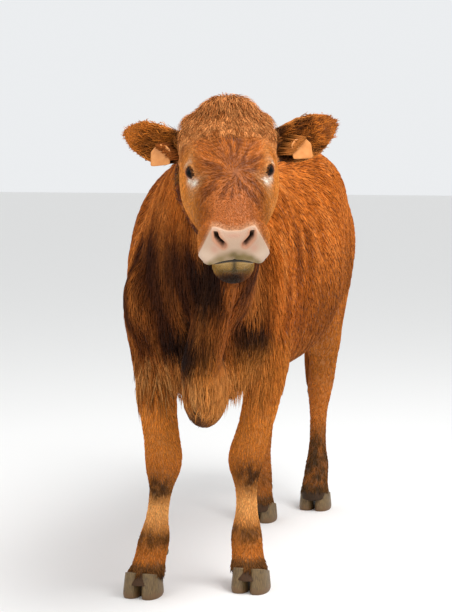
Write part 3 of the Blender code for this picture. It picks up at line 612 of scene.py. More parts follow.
def region_of(p):
    q = to_head(p)
    code = np.full(len(p), TRUNK_R)
    x, y, z = p.T
    ahead = (p - np.array([0.05, -0.600, 1.0])) @ np.array([0.30, -0.80, 0.52])
    code[ahead > 0] = NECK_R
    code[(q[:, 1] > -0.045) & (q[:, 2] > -0.225) & (np.abs(q[:, 0]) < 0.3) & (q[:, 1] < 0.6)] = HEAD_R
    ear, side = ear_place(q)
    on_ear = (ear[:, 0] > 0.022) & (np.abs(ear[:, 1]) < 0.08) & (ear[:, 2] > -0.07) & (ear[:, 2] < 0.05)
    on_ear &= (ear[:, 0] < 0.26) & (code != TRUNK_R)
    code[on_ear & (side > 0)] = EAR_L
    code[on_ear & (side < 0)] = EAR_R
    code[(x > np.where(z < 0.54, 0.045, 0.085)) & (np.abs(y + 0.425) < 0.13) & (z < 0.605)] = FORE_L
    code[(x < np.where(z < 0.54, 0.035, -0.040)) & (np.abs(y + 0.520) < 0.14) & (z < 0.605)] = FORE_R
    for side, name, shift in ((1, HIND_L, 0.0), (-1, HIND_R, 0.6 * RIGHT_STEP)):
        low = z < 0.79 + (y - 0.60 + shift) * math.tan(math.radians(14))
        code[(side * x > 0.023) & (y > 0.15) & low] = name
    code[(y > 0.828) & (np.abs(x) < 0.06) & (z < 1.20)] = TAIL_R
    return code


def past_meeting(q):
    """How far towards the nose a place lies from the line where the poll's hair ends: a chevron on the
    forehead whose arms turn up again at the sides."""
    h = np.abs(q[:, 0] - 0.002)
    return q[:, 1] - (MEETING - 0.006 + 0.30 * np.minimum(h, 0.045) - 0.90 * np.maximum(h - 0.045, 0.0))


def pad_edge(q):
    """How far a place lies below the pad's upper edge, which is highest over the nostrils and drops at the
    sides."""
    h, s, u = np.abs(q[:, 0]), q[:, 1], q[:, 2]
    edge = 0.340 - 0.010 * step(0.012, 0.046, h) + 1.76 * np.clip(h - 0.0515, 0.0, None)
    return 0.735 * s - 0.68 * u - edge


def mouth_line(q):
    """Height of the closed mouth: a plane tilted with the lips, arched down towards its corners."""
    h = np.clip(np.abs(q[:, 0]), 0.0, 0.085)
    return -0.112 + 0.287 * (q[:, 1] - 0.416) - 0.012 * (h / 0.0428) ** 2.2


def pad_share(q):
    """1 on the bare pad of the muzzle and 0 on hair: below its upper edge and above the mouth."""
    above_mouth = step(-0.006, 0.004, q[:, 2] - mouth_line(q) + 0.002)
    return step(-0.0035, 0.0035, pad_edge(q)) * step(0.362, 0.400, q[:, 1]) * above_mouth


def lip_share(q):
    """1 on the short-haired lower lip and 0 away from it."""
    below = mouth_line(q) - q[:, 2]
    return step(-0.001, 0.004, below) * (1 - step(0.046, 0.070, below)) * step(0.385, 0.410, q[:, 1])


# The left eye's axes: the way its opening faces, along its slit, and up across it
FACING = np.array(EYE_AXIS)
SLIT = unit(np.array(EYE_SLIT) - np.array(EYE_SLIT) @ FACING * FACING)
LIFT = np.cross(FACING, SLIT)
LIFT = LIFT * np.sign(LIFT[2])


def eye_place(q):
    """Round each eye: arc lengths along and across the slit, size (1 on the opening's edge, less inside it),
    distance from the eye's middle, share of that along the eye's facing, and the side."""
    folded, side = to_left(q)
    away = folded - np.array(EYE_PLACE)
    far = np.linalg.norm(away, axis=1)
    e = away / np.maximum(far, 1e-9)[:, None]
    a = EYE_RADIUS * np.arcsin(np.clip(e @ SLIT, -1, 1))
    b = EYE_RADIUS * np.arcsin(np.clip(e @ LIFT, -1, 1))
    out = e @ FACING
    reach = np.where(b > 0, EYE_OPENING[1], EYE_OPENING[2])
    size = np.abs(a / EYE_OPENING[0]) ** LID_POWER + np.abs(b / reach) ** LID_POWER
    return a, b, np.where(out > -0.1, size, 99.0), far, out, side


def on_eye(a, b, front=1.0):
    """The way from the eye's middle to the place of these arc lengths; `front` is -1 behind the middle."""
    along, up = np.sin(a / EYE_RADIUS), np.sin(b / EYE_RADIUS)
    out = np.sqrt(np.clip(1 - along ** 2 - up ** 2, 0.0, 1.0)) * front
    return along[:, None] * SLIT + up[:, None] * LIFT + out[:, None] * FACING


# ---- The skin ----
def ear_form(side):
    """A cupped leaf, as an ear's section is a crescent, thick enough to join the head's skin."""
    table = smooth_table([(row[0], 0.0, 0.0, *row[1:]) for row in EAR], 40)
    share, half, drop, cup = table[:, 0], table[:, 3], table[:, 4], table[:, 5]
    thick = np.maximum(table[:, 6], 0.0115)
    cup = np.maximum(cup, thick * 1.15)
    along, across, opening = ear_frame(side)
    sweep = np.linspace(-math.pi / 2, math.pi / 2, 25)
    outer = (half[:, None] * np.sin(sweep), -cup[:, None] * np.cos(sweep))
    lip = (half - 0.55 * thick)[:, None]
    inner = (lip * np.sin(sweep[::-1]), -(cup - thick)[:, None] * np.cos(sweep[::-1]) + 0.25 * thick[:, None])
    wide = np.concatenate([outer[0], inner[0]], axis=1) + drop[:, None]
    wide = np.where(wide > 0, wide * EAR_LOWER[side], wide)
    deep = np.concatenate([outer[1], inner[1]], axis=1)
    root = np.array(EAR_ROOT) + share[:, None] * EAR_LENGTH[side] * along
    rings = root[:, None] + wide[..., None] * across + deep[..., None] * opening
    rings[..., 0] *= side
    return on_head(loft(rings))


def joined_forms():
    """All forms of the flesh in one mesh, still overlapping."""
    forms = [
        trunk_form(), loft(path_rings(NECK)), loft(path_rings(DEWLAP)), head_form(),
        foreleg_form(FORELEG_LEFT), foreleg_form(FORELEG_RIGHT), hindleg_form(1, 0.0),
        hindleg_form(-1, RIGHT_STEP), round_path(TAIL), *face_forms(), *bone_forms(),
        ear_form(1), ear_form(-1),
    ]
    joined = bmesh.new()
    for form in forms:
        joined.from_mesh(form)
    mesh = bpy.data.meshes.new("skin")
    joined.to_mesh(mesh)
    joined.free()
    return mesh


def one_skin():
    """All forms of the flesh as one closed surface of triangles, relaxed less where the form is fine (ears,
    then head, tail and legs), with fewer and larger triangles off the head."""
    skin = add_object("skin", joined_forms())
    remesh = skin.modifiers.new("one_skin", "REMESH")
    remesh.mode = "VOXEL"
    remesh.voxel_size = SKIN_VOXEL
    settle(skin)
    p = places(skin.data)
    q = to_head(p)
    code = region_of(p)
    on_ear = (code == EAR_L) | (code == EAR_R)
    in_head = ((q[:, 1] > -0.02) & (q[:, 2] > -0.29)) | on_ear
    firm = in_head | (p[:, 1] > 0.835) | (p[:, 2] < 0.55)
    out_on_ear = on_ear & (ear_place(q)[0][:, 0] > 0.035)
    weight = np.where(out_on_ear, 0.06, np.where(firm, 0.35, 1.0))
    soft = skin.vertex_groups.new(name="soft")
    for value in np.unique(weight).tolist():
        soft.add(np.flatnonzero(weight == value).tolist(), value, "REPLACE")
    body = skin.vertex_groups.new(name="body")
    body.add(np.flatnonzero(~in_head).tolist(), 1.0, "REPLACE")
    relax = skin.modifiers.new("relax", "SMOOTH")
    relax.factor = 0.5
    relax.iterations = RELAX_STEPS
    relax.vertex_group = "soft"
    settle(skin)
    total = 2 * len(skin.data.polygons)
    head_part = 2 * int(in_head.sum())
    fewer = skin.modifiers.new("fewer", "DECIMATE")
    fewer.ratio = (head_part + BODY_SKIN_TRIANGLES) / total
    fewer.vertex_group = "body"
    fewer.vertex_group_factor = 1000.0
    fewer.use_collapse_triangulate = True
    settle(skin)
    skin.vertex_groups.clear()
    return skin


def finer(skin, chosen):
    """Split the chosen faces' edges in two, and make triangles of what that leaves."""
    shape = bmesh.new()
    shape.from_mesh(skin.data)
    shape.faces.ensure_lookup_table()
    edges = {edge for i in np.flatnonzero(chosen).tolist() for edge in shape.faces[i].edges}
    bmesh.ops.subdivide_edges(shape, edges=list(edges), cuts=1, use_grid_fill=True)
    bmesh.ops.triangulate(shape, faces=[face for face in shape.faces if len(face.verts) > 3])
    shape.to_mesh(skin.data)
    shape.free()


def near_details(mesh, level):
    """Which faces lie round the eyes and on the muzzle, or at level 2 nearer the eyes, at the nostrils and on
    the mouth."""
    q = to_head(places(mesh)[triangles(mesh)].mean(axis=1))
    eye = np.linalg.norm(to_left(q)[0] - np.array(EYE_PLACE), axis=1)
    head = (q[:, 1] > 0) & (q[:, 1] < 0.5) & (q[:, 2] > -0.3)
    if level == 1:
        return head & ((eye < 0.042) | (q[:, 1] > 0.375))
    nostril = np.hypot(np.abs(q[:, 0]) - 0.037, q[:, 2] + 0.038) < 0.024
    mouth = (np.abs(q[:, 2] - mouth_line(q)) < 0.009) & (q[:, 1] > 0.375)
    return head & ((eye < 0.034) | ((q[:, 1] > 0.42) & nostril) | mouth)


def coat_depth(p, q, code):
    """How far the skin lies inside the coat's tips: deepest on neck, brisket, poll and the tail's switch."""
    z = p[:, 2]
    legs = (code >= FORE_L) & (code <= HIND_R)
    depth = np.array(COAT_DEPTH)[code] + 0.002 * step(0.45, 0.62, z) * legs
    depth = depth + 0.008 * step(0.68, 0.52, z) * step(0.40, 0.47, z) * (code == TAIL_R)
    head = code == HEAD_R
    depth = depth + 0.006 * head * step(0.150, 0.02, q[:, 1]) * step(-0.10, -0.04, q[:, 2])
    bare = pad_share(q) * head
    return depth * (1 - bare) + BARE_DEPTH * bare


def nostril_gap(q):
    """How far a place of the muzzle is from the nostril's line, seen from in front."""
    line = np.array(NOSTRIL)
    start, way = line[:-1], np.diff(line, axis=0)
    flat = np.stack([np.abs(q[:, 0]), q[:, 2]], axis=1)[:, None]
    share = np.clip(((flat - start) * way).sum(-1) / (way ** 2).sum(-1), 0, 1)
    return np.linalg.norm(flat - start - share[..., None] * way, axis=-1).min(axis=1)


def sculpt_face(q, n):
    """Folds of the brow, lids, nostrils, lips and jaw, in the head's axes. n is the way out of the skin."""
    h, s, u = q.T
    side = np.abs(h)
    # Folds of loose skin on the brow beside the meeting line, arched over each eye
    arch = s + 0.35 * (side - 0.05) + 0.006 * np.sin(side * 95.0)
    band = step(0.125, 0.140, arch) * step(0.205, 0.180, arch) * step(0.016, 0.035, side)
    band = band * step(-0.075, -0.03, u)
    push = 0.0011 * np.sin(arch * 2 * math.pi / 0.0125) * band
    # A hollow in front of each eye, and the cheek bone's ridge below it
    push = push - 0.0050 * peak(side, 0.086, 0.030) * peak(s, 0.262, 0.032) * peak(u, -0.075, 0.035)
    push = push + 0.0030 * peak(s, 0.262, 0.05) * peak(u, -0.115, 0.014) * step(0.06, 0.09, side)
    # Muzzle: a shallow channel down the middle of the lip, and wings round the nostrils
    channel = step(0.395, 0.425, s) * step(-0.062, -0.075, u) * step(-0.104, -0.094, u)
    push = push - 0.0016 * peak(h, 0.0, 0.0035) * channel
    gap, edge = nostril_gap(q), pad_edge(q)
    wing = step(0.0, 0.012, edge) * (0.30 + 0.70 * step(0.030, 0.050, side))
    push = push + 0.0030 * peak(gap, 0.0105, 0.0042) * wing
    # Lips: a groove along the mouth, the upper lip rolled over it and the lower lip a little behind
    over = u - mouth_line(q)
    mouth = step(0.375, 0.400, s)
    push = push - 0.0085 * peak(over, 0.0, 0.0022) * mouth * step(0.085, 0.060, side)
    push = push + 0.0026 * peak(over, 0.009, 0.007) * mouth * step(0.004, 0.03, side + 0.02)
    push = push - 0.0040 * step(-0.001, -0.008, over) * step(-0.050, -0.020, over) * step(0.42, 0.445, s)
    # The nostrils' hollows run back into the muzzle and a little towards its middle
    hollow = step(0.010, 0.018, edge) * step(0.0066, 0.0022, gap - 0.0016 * step(-0.036, -0.046, u))
    inwards = np.stack([-0.003 * np.sign(h), 0 * h - 0.026, 0 * h + 0.004], axis=1)
    return shape_lids(q + n * push[:, None] + inwards * hollow[:, None])


def shape_lids(q):
    """Lids round each eye: inside the almond opening the skin drops behind the eyeball; its edge is drawn
    onto the almond's line; outside it the lid follows the ball a little above it, with a fold over the upper
    lid."""
    a, b, size, far, out, side = eye_place(q)
    near = (far < 0.060) & (out > -0.1)
    on_edge = near & (size > 0.86) & (size < 1.20)
    pull = np.where(on_edge, np.maximum(size, 1e-9) ** (-1 / LID_POWER), 1.0)
    a, b = a * pull, b * pull
    size = np.where(on_edge, 1.0, size)
    lid = EYE_RADIUS + 0.0024 + 0.0006 * step(1.0, 1.5, size)
    rest = np.maximum(far, EYE_RADIUS + 0.0016)
    away = step(1.15, 4.2, size)
    upper = step(-0.001, 0.004, b)
    reach = lid * (1 - away) + rest * away
    reach = reach - 0.0016 * peak(size, 2.5, 0.45) * upper - 0.0010 * peak(size, 2.3, 0.5) * (1 - upper)
    reach = reach + 0.0030 * peak(size, 5.0, 1.7) * upper
    reach = np.where(size < 0.98, EYE_RADIUS - 0.0045, reach)
    shaped = np.array(EYE_PLACE) + on_eye(a, b, np.where(out < 0, -1.0, 1.0)) * reach[:, None]
    shaped[:, 0] *= side
    fade = step(0.058, 0.042, far) * step(-0.1, 0.15, out)
    return np.where(near[:, None], q + (shaped - q) * fade[:, None], q)


# ---- Colours of skin and coat, with painted shade and highlights ----
RED, RED_DARK, RED_LIGHT = tint("#C0651C"), tint("#5E2A0C"), tint("#E29048")
ORANGE, TAN, CREAM = tint("#C4742C"), tint("#C98A4C"), tint("#EBD6B8")
BROWN, DARK, MUZZLE = tint("#4E2E14"), tint("#120B08"), tint("#BE9F86")
PINK, STAIN = tint("#C48C74"), tint("#74602A")


def blend(base, colour, share):
    return base * (1 - share[:, None]) + colour * share[:, None]


def mark(base, code, share, most=1.0):
    """A colour laid over the others by a share from 0 to `most`."""
    return blend(base, tint(code), np.clip(share, 0.0, most))


def spot(q, place, size):
    """A soft spot of 1 at a place of the head, given on its left and mirrored, that fades over `size`."""
    return np.exp(-(((to_left(q)[0] - np.array(place)) / np.array(size)) ** 2).sum(axis=1))


def markings_and_painted_light(p, code):
    """The coat's colours and painted light, laid over each other by smooth steps of place: red-brown, more
    orange down the legs, dark knees and fetlocks, painted shade in the folds of the neck and chest, under the
    jaw and chin, in the ears and along the lower left flank, pale round the eyes and on the brisket, and a
    cream muzzle stained round the mouth, with painted highlights on the pad and lower lip."""
    q = to_head(p)
    ribs = step(-0.35, -0.10, p[:, 1]) * (code == TRUNK_R)
    streak = mottle(p, (0.034, 0.040, 0.26), 3) * (1 - 0.55 * ribs)
    fine = mottle(p, (0.010, 0.012, 0.07), 8)
    c = ground_colour(p, code, streak, fine)
    c = chest_marks(c, p, code, streak, fine)
    c = leg_marks(c, p, code)
    switch = (code == TAIL_R) * step(0.70, 0.55, p[:, 2])
    c = blend(c, RED_DARK, np.clip((0.45 + 0.4 * streak) * switch, 0, 1))
    c = face_marks(c, q, code)
    c = cheek_and_eye_marks(c, q, code, fine)
    c = ear_marks(c, q, code)
    return muzzle_marks(c, q, code)


def ground_colour(p, code, streak, fine):
    """Red-brown with darker and lighter streaks, more orange lower down, and painted shade along the lower
    left flank.
    """
    x, y, z = p.T
    head = code == HEAD_R
    ears = (code == EAR_L) | (code == EAR_R)
    cloud = mottle(p, (0.13, 0.13, 0.13), 5)
    dark = (0.12 - 0.60 * streak - 0.20 * fine - 0.15 * cloud) * (1 - 0.8 * head)
    light = (0.10 + 0.28 * fine + 0.45 * streak + 0.15 * cloud) * (1 - 0.6 * head)
    c = np.tile(RED, (len(p), 1))
    c = blend(c, RED_DARK, np.clip(dark, 0, 0.66))
    c = blend(c, RED_LIGHT, np.clip(light, 0, 0.55))
    c = blend(c, ORANGE, 0.80 * step(0.78, 0.48, z) * (~head & ~ears))
    # Painted shade: the lower left flank of the barrel is browner.
    flank = step(-0.40, 0.00, y) * step(0.05, 0.15, x) * step(0.42, 0.60, z) * (code == TRUNK_R)
    return mark(c, "#6E3C10", 0.56 * flank * step(1.10, 0.78, z + 0.06 * cloud))


def chest_marks(c, p, code, streak, fine):
    """The right shoulder and the chest are darker, partly in their own coat and partly as painted shade; the
    neck beside the jaw holds a painted shadow, painted shade makes the hollows between the forelegs and in
    the neck's folds darkest, painted light runs down the dewlap's ridge, and the brisket is pale with painted
    shade at its tip."""
    x, y, z = p.T
    body = (code == TRUNK_R) | (code == NECK_R) | (code == TAIL_R)
    front = (code == TRUNK_R) | (code == NECK_R)
    across = 0.96 * x + 0.29 * (y + 0.60)  # across the chest, turned with the neck
    # Partly darker coat, partly painted shade on the right shoulder, the side turned from the light.
    shoulder = step(-0.30, -0.62, y) * step(0.04, -0.12, x) * step(0.62, 0.75, z) * body
    c = mark(c, "#4A220C", (0.42 - 0.5 * streak) * shoulder, 0.8)
    # Partly darker coat, partly painted shade on the chest under the neck and head.
    chest = step(-0.50, -0.66, y) * step(1.12, 1.00, z) * step(0.64, 0.78, z) * body
    c = mark(c, "#371808", (0.74 - 0.45 * streak) * chest, 0.9)
    # Painted shade: the near-black hollows between the forelegs and in the folds of the neck.
    hollows = 1.25 * peak(across, 0.004, 0.082) * peak(z, 0.758, 0.054) * step(-0.50, -0.68, y)
    hollows = hollows + 2.5 * peak(across, 0.172, 0.046) * peak(z, 0.752, 0.056)
    hollows = hollows + 1.5 * peak(across, 0.050, 0.040) * peak(z, 0.945, 0.085)
    c = mark(c, "#1C0C05", 1.1 * hollows * step(-0.36, -0.48, y) * body * (1 - 0.4 * streak), 0.94)
    # Painted shadow on the neck beside and below the jaw.
    throat = peak(across, -0.050, 0.085) * peak(z, 0.980, 0.150) * step(-0.52, -0.72, y) * body
    c = mark(c, "#2E1408", (0.75 - 0.4 * streak) * throat, 0.80)
    # Painted light along the dewlap's ridge, between the shaded hollows.
    ridge = peak(across, 0.123 - 0.125 * (0.868 - z), 0.024) * step(0.62, 0.68, z) * step(1.00, 0.92, z)
    c = mark(c, "#A45A24", 0.85 * ridge * step(-0.46, -0.56, y) * body * (1 + 0.6 * streak), 0.9)
    brisket = step(-0.48, -0.58, y) * step(0.735, 0.640, z) * front
    c = mark(c, "#A87038", (0.50 + 0.6 * streak) * brisket, 0.90)
    c = mark(c, "#5A3014", np.clip(-1.3 * fine, 0, 0.7) * brisket)
    c = mark(c, "#DCA868", np.clip(1.1 * fine, 0, 0.5) * brisket)
    # Painted shade under the brisket's tip.
    c = mark(c, "#4A2410", 0.88 * brisket * step(0.612, 0.574, z))
    c = blend(c, BROWN, 0.35 * step(0.66, 0.58, z) * step(0.05, -0.25, y) * front)
    return mark(c, "#C8782E", 0.55 * step(0.10, 0.16, x) * step(0.79, 0.70, z) * step(-0.20, -0.34, y) * body)


def leg_marks(c, p, code):
    """Pale shins, dark knees on the front of the forelegs, dark fetlocks, sooty hind feet and brown rims."""
    x, y, z = p.T
    fore = (code == FORE_L) | (code == FORE_R)
    hind = (code == HIND_L) | (code == HIND_R)
    rough = 0.8 + 0.5 * mottle(p, (0.014, 0.014, 0.02), 11)
    in_front = y - np.where(code == FORE_L, FORELEG_LEFT[4][2], FORELEG_RIGHT[4][2])
    middle = np.where(code == FORE_L, FORELEG_LEFT[4][1] + 0.020, FORELEG_RIGHT[4][1] - 0.014)
    level = np.where(code == FORE_L, 0.342, 0.324)
    knee = peak(z, level, 0.042) * peak(x, middle, 0.050) * step(0.045, 0.005, in_front) * fore
    fetlock = peak(z, 0.150, 0.040) * hind + 2.0 * peak(z, 0.168, 0.026) * fore * step(0.075, 0.01, in_front)
    sooty = step(0.34, 0.24, z) * hind * np.where(code == HIND_L, 1.0, 0.25)
    c = mark(c, "#F4AE62", 0.92 * fore * peak(z, 0.250, 0.060))
    c = mark(c, "#40260F", 1.25 * knee * rough, 0.93)
    c = mark(c, "#50300F", 0.52 * fetlock * rough, 0.82)
    c = mark(c, "#3A2A12", 0.85 * sooty * rough, 0.92)
    c = mark(c, "#DA8634", 0.45 * fore * step(0.37, 0.45, z) * step(0.62, 0.56, z))
    c = mark(c, "#9A5C1C", 0.40 * hind * step(0.40, 0.55, z))
    inside = step(0.59, 0.63, z) * step(0.74, 0.66, z) * step(-0.30, -0.38, y)
    c = mark(c, "#CC8440", 0.60 * peak(x, 0.150, 0.050) * inside)
    c = mark(c, "#4E3820", 0.80 * step(0.110, 0.088, z))
    c = mark(c, "#35220F", 0.75 * step(0.078, 0.070, z))
    return blend(c, TAN, 0.5 * hind * step(0.10, 0.06, np.abs(x)) * step(0.55, 0.65, z))


def face_marks(c, q, code):
    """Paler on the brow and nose, yellow-brown down the sides, with dark rays round the forehead's whorl and
    a dark chevron where the poll's hair ends."""
    h, s, u = q.T
    side = np.abs(h)
    face = np.where(code == HEAD_R, 1.0, 0.0)
    hairs = mottle(q, (0.006, 0.018, 0.010), 14)
    c = mark(c, "#BE6C2C", 0.85 * face)
    c = mark(c, "#E29858", 0.98 * face * step(0.16, 0.09, s) * (0.8 + 1.0 * hairs), 0.96)
    c = blend(c, RED_DARK, np.clip((0.18 - 0.40 * hairs) * face, 0, 0.5))
    c = mark(c, "#DE8C3C", 0.85 * face * step(0.068, 0.100, side) * step(0.10, 0.18, s))
    c = mark(c, "#6E3E14", 0.40 * face * peak(side, 0.085, 0.022) * peak(s, 0.300, 0.045))
    c = mark(c, "#BC6C38", 0.60 * face * step(0.070, 0.03, side) * step(0.26, 0.33, s))
    forehead = face * step(-0.08, -0.03, u)
    from_whorl = np.hypot(h - WHORL[0], s - WHORL[1])
    ring = peak(from_whorl, 0.040, 0.03) * (0.6 + 0.9 * mottle(q, 0.010, 13))
    c = blend(c, RED_DARK, np.clip(0.22 * forehead * ring, 0, 1))
    brow = face * step(0.15, 0.08, s) * (0.5 + 1.2 * mottle(q, (0.012, 0.04, 0.02), 15))
    c = blend(c, RED_DARK, np.clip(0.14 * brow, 0, 0.5))
    turn = np.arctan2(h - WHORL[0], WHORL[1] - s)
    rays = mottle(np.stack([turn / 0.11, from_whorl / 0.040, 0 * h], axis=1), 1.0, 23)
    rays = (-0.05 - 1.4 * rays) * peak(from_whorl, 0.055, 0.045)
    c = blend(c, RED_DARK, np.clip(1.1 * forehead * rays, 0, 0.62))
    past = past_meeting(q) + 0.003 * mottle(q, 0.009, 16)
    chevron = peak(past, 0.007, 0.0055) * step(0.046, 0.026, side) * step(-0.05, -0.02, u)
    return mark(c, "#3E1C0C", 0.90 * face * chevron)


# Soft pale and dark spots of the face. Columns: place on the head's left, size, strength
PALE_BELOW_EYE = (
    ((0.1040, 0.2290, -0.0555), 0.0095, 1.0),
    ((0.0965, 0.2400, -0.0475), 0.0100, 1.0),
    ((0.0875, 0.2475, -0.0395), 0.0085, 1.0),
)
PALE_ABOVE_EYE = (
    ((0.108, 0.173, -0.047), 0.0095, 1.0),
    ((0.101, 0.182, -0.030), 0.0085, 0.7),
)
TEAR_DUCT = ((0.0835, 0.2555, -0.0370), 0.0042)
SHADE_BY_EYE = ((0.0745, 0.262, -0.030), 0.012)


def cheek_and_eye_marks(c, q, code, fine):
    """The right cheek's foot, the jaw and the throat lie in brown shade, a light line follows the cheek bone,
    and each eye has pale hair round it, a dark rim and a tear duct."""
    h, s, u = q.T
    side = np.abs(h)
    face = np.where(code == HEAD_R, 1.0, 0.0)
    hairs = mottle(q, (0.006, 0.018, 0.010), 14)
    c = mark(c, "#5A2E10", 0.75 * face * spot(q, *SHADE_BY_EYE) * np.where(h < 0, 1.0, 0.35))
    jaw = face * step(-0.136, -0.168, u) * step(0.0, -0.05, h) * step(0.42, 0.36, s)
    c = mark(c, "#8A3E0A", (0.80 - 0.6 * fine) * jaw, 0.95)
    c = mark(c, "#4A1E08", np.clip(-1.6 * fine, 0, 0.8) * jaw)
    throat = face * step(-0.150, -0.180, u) * step(0.20, 0.28, s) * step(0.030, 0.004, h)
    c = mark(c, "#2A1207", 0.90 * throat * (1 - lip_share(q)))
    cheek_bone = peak(u, -0.108, 0.008) * step(0.085, 0.10, side) * step(0.17, 0.22, s)
    c = mark(c, "#CC8C50", 0.55 * face * cheek_bone)
    _, b, size, far, out, _ = eye_place(q)
    near = face * (far < 0.07) * step(-0.2, 0.3, out)
    below = sum(strength * spot(q, place, spread) for place, spread, strength in PALE_BELOW_EYE)
    above = sum(strength * spot(q, place, spread) for place, spread, strength in PALE_ABOVE_EYE)
    c = mark(c, "#C98A50", 0.70 * near * step(3.6, 1.6, size))
    c = blend(c, CREAM, np.clip(0.95 * above * (0.75 + 0.5 * hairs), 0, 0.9) * face)
    c = mark(c, "#F7EAD8", np.clip(1.9 * below, 0, 0.96) * face)
    c = blend(c, BROWN, 0.85 * face * spot(q, *TEAR_DUCT))
    c = mark(c, "#B5643A", 0.8 * near * step(1.75, 1.35, size) * step(0.002, -0.004, b))
    return blend(c, DARK, near * step(1.42, 1.10, size) * np.where(b > 0, 1.0, 0.75))


def ear_marks(c, q, code):
    """Brown ears with lighter rims, painted shade in the hollows inside towards the root, and a painted
    shadow band where each ear meets the head.
    """
    ears = (code == EAR_L) | (code == EAR_R)
    (along, across, opening), left = ear_place(q)[0].T, q[:, 0] > 0
    rim = step(0.035, 0.052, np.abs(across - 0.004))
    patchy = mottle(q, (0.016, 0.010, 0.016), 17)
    c = mark(c, "#C87428", ears * 0.85)
    c = mark(c, "#7A3F14", ears * left * (0.50 - 0.7 * patchy) * step(-0.034, -0.020, opening), 0.85)
    c = mark(c, "#D68C44", ears * 0.50 * rim)
    # Painted shade in the ear's cup, patchy and deepest towards the root.
    inside = ears * step(-0.030, -0.016, opening) * (1 - rim)
    c = mark(c, "#2A1408", inside * (0.10 - 1.1 * patchy) * step(0.185, 0.12, along), 0.75)
    c = mark(c, "#1E0E06", 0.80 * inside * peak(along, 0.085, 0.030) * peak(across, 0.012, 0.016))
    # Painted shadow across the ear's root, where it meets the head.
    return mark(c, "#160B06", 0.75 * ears * peak(along, 0.035, 0.022))


def muzzle_marks(c, q, code):
    """The bare pad, cream with pink at the nostrils, painted highlights on its side lobes, painted shade
    inside the nostrils and a grass stain round the mouth; the lips, with painted highlights and painted shade
    in their creases and groove, and painted shade under the chin.
    """
    h, s, u = q.T
    side = np.abs(h)
    head = code == HEAD_R
    over = u - mouth_line(q)
    lower = pad_edge(q)
    gap = nostril_gap(q)
    rim = head * step(-0.020, -0.003, lower) * step(0.375, 0.39, s) * step(-0.14, -0.12, u)
    c = mark(c, "#D09468", 0.75 * rim)
    skin = np.tile(MUZZLE, (len(q), 1))
    skin = blend(skin, PINK, 0.60 * peak(side, 0.0, 0.026) * peak(lower, 0.012, 0.007))
    # Painted highlights on the pad's lower side lobes.
    skin = mark(skin, "#D2B8A0", 0.80 * spot(q, (0.066, 0.452, -0.085), (0.022, 0.03, 0.020)))
    skin = mark(skin, "#BC7854", 0.70 * peak(gap, 0.007, 0.0050) * step(0.0, 0.012, lower))
    skin = blend(skin, PINK, 0.6 * peak(side, 0.047, 0.010) * peak(u, -0.062, 0.012))
    stain = step(0.042, 0.014, over + 0.45 * np.clip(side - 0.040, 0, 1))
    stain = np.clip(stain * (0.80 + 0.4 * mottle(q, 0.014, 19)), 0, 0.92)
    skin = blend(skin, STAIN, stain)
    skin = mark(skin, "#5C4A1C", 0.8 * stain * peak(h, 0.0, 0.012))
    # Painted shade inside the nostrils.
    skin = mark(skin, "#1A0D08", step(0.0058, 0.0030, gap) * step(0.008, 0.014, lower))
    c = blend(c, skin, pad_share(q) * head)
    lip = lip_share(q) * head
    # Painted shade in the lower lip's middle crease and under its lower edge.
    crease = 0.9 * lip * peak(h, 0.0, 0.006) + 0.8 * lip * peak(over, -0.050, 0.012) * step(0.05, 0.03, side)
    c = mark(c, "#957638", 0.88 * lip * step(0.085, 0.06, side))
    # Painted highlights on the lower lip, to each side of its middle.
    c = mark(c, "#B79458", 0.6 * lip * peak(side, 0.024, 0.014) * peak(over, -0.018, 0.012))
    c = mark(c, "#4A3A18", crease)
    # Painted shade under the chin.
    below_chin = peak(h, 0.0, 0.060) * step(-0.050, -0.066, over) * step(0.34, 0.38, s)
    c = mark(c, "#221408", 0.95 * head * below_chin)
    # Painted shade in the groove between the lips.
    mouth = step(-0.0125, -0.0085, over) * step(0.0035, 0.0005, over) * step(0.38, 0.40, s)
    return blend(c, DARK, 0.97 * head * mouth * step(0.062, 0.045, side))


# ---- The map that baked colours use: a tile for each region, by angle round it and distance along it ----
TILES = {
    TRUNK_R: (0.00, 0.00, 0.50, 0.60), NECK_R: (0.50, 0.00, 0.25, 0.40), HEAD_R: (0.50, 0.40, 0.50, 0.40),
    EAR_L: (0.50, 0.80, 0.15, 0.20), EAR_R: (0.65, 0.80, 0.15, 0.20), FORE_L: (0.75, 0.00, 0.125, 0.40),
    FORE_R: (0.875, 0.00, 0.125, 0.40), HIND_L: (0.00, 0.60, 0.25, 0.40), HIND_R: (0.25, 0.60, 0.25, 0.40),
    TAIL_R: (0.80, 0.80, 0.20, 0.20),
}


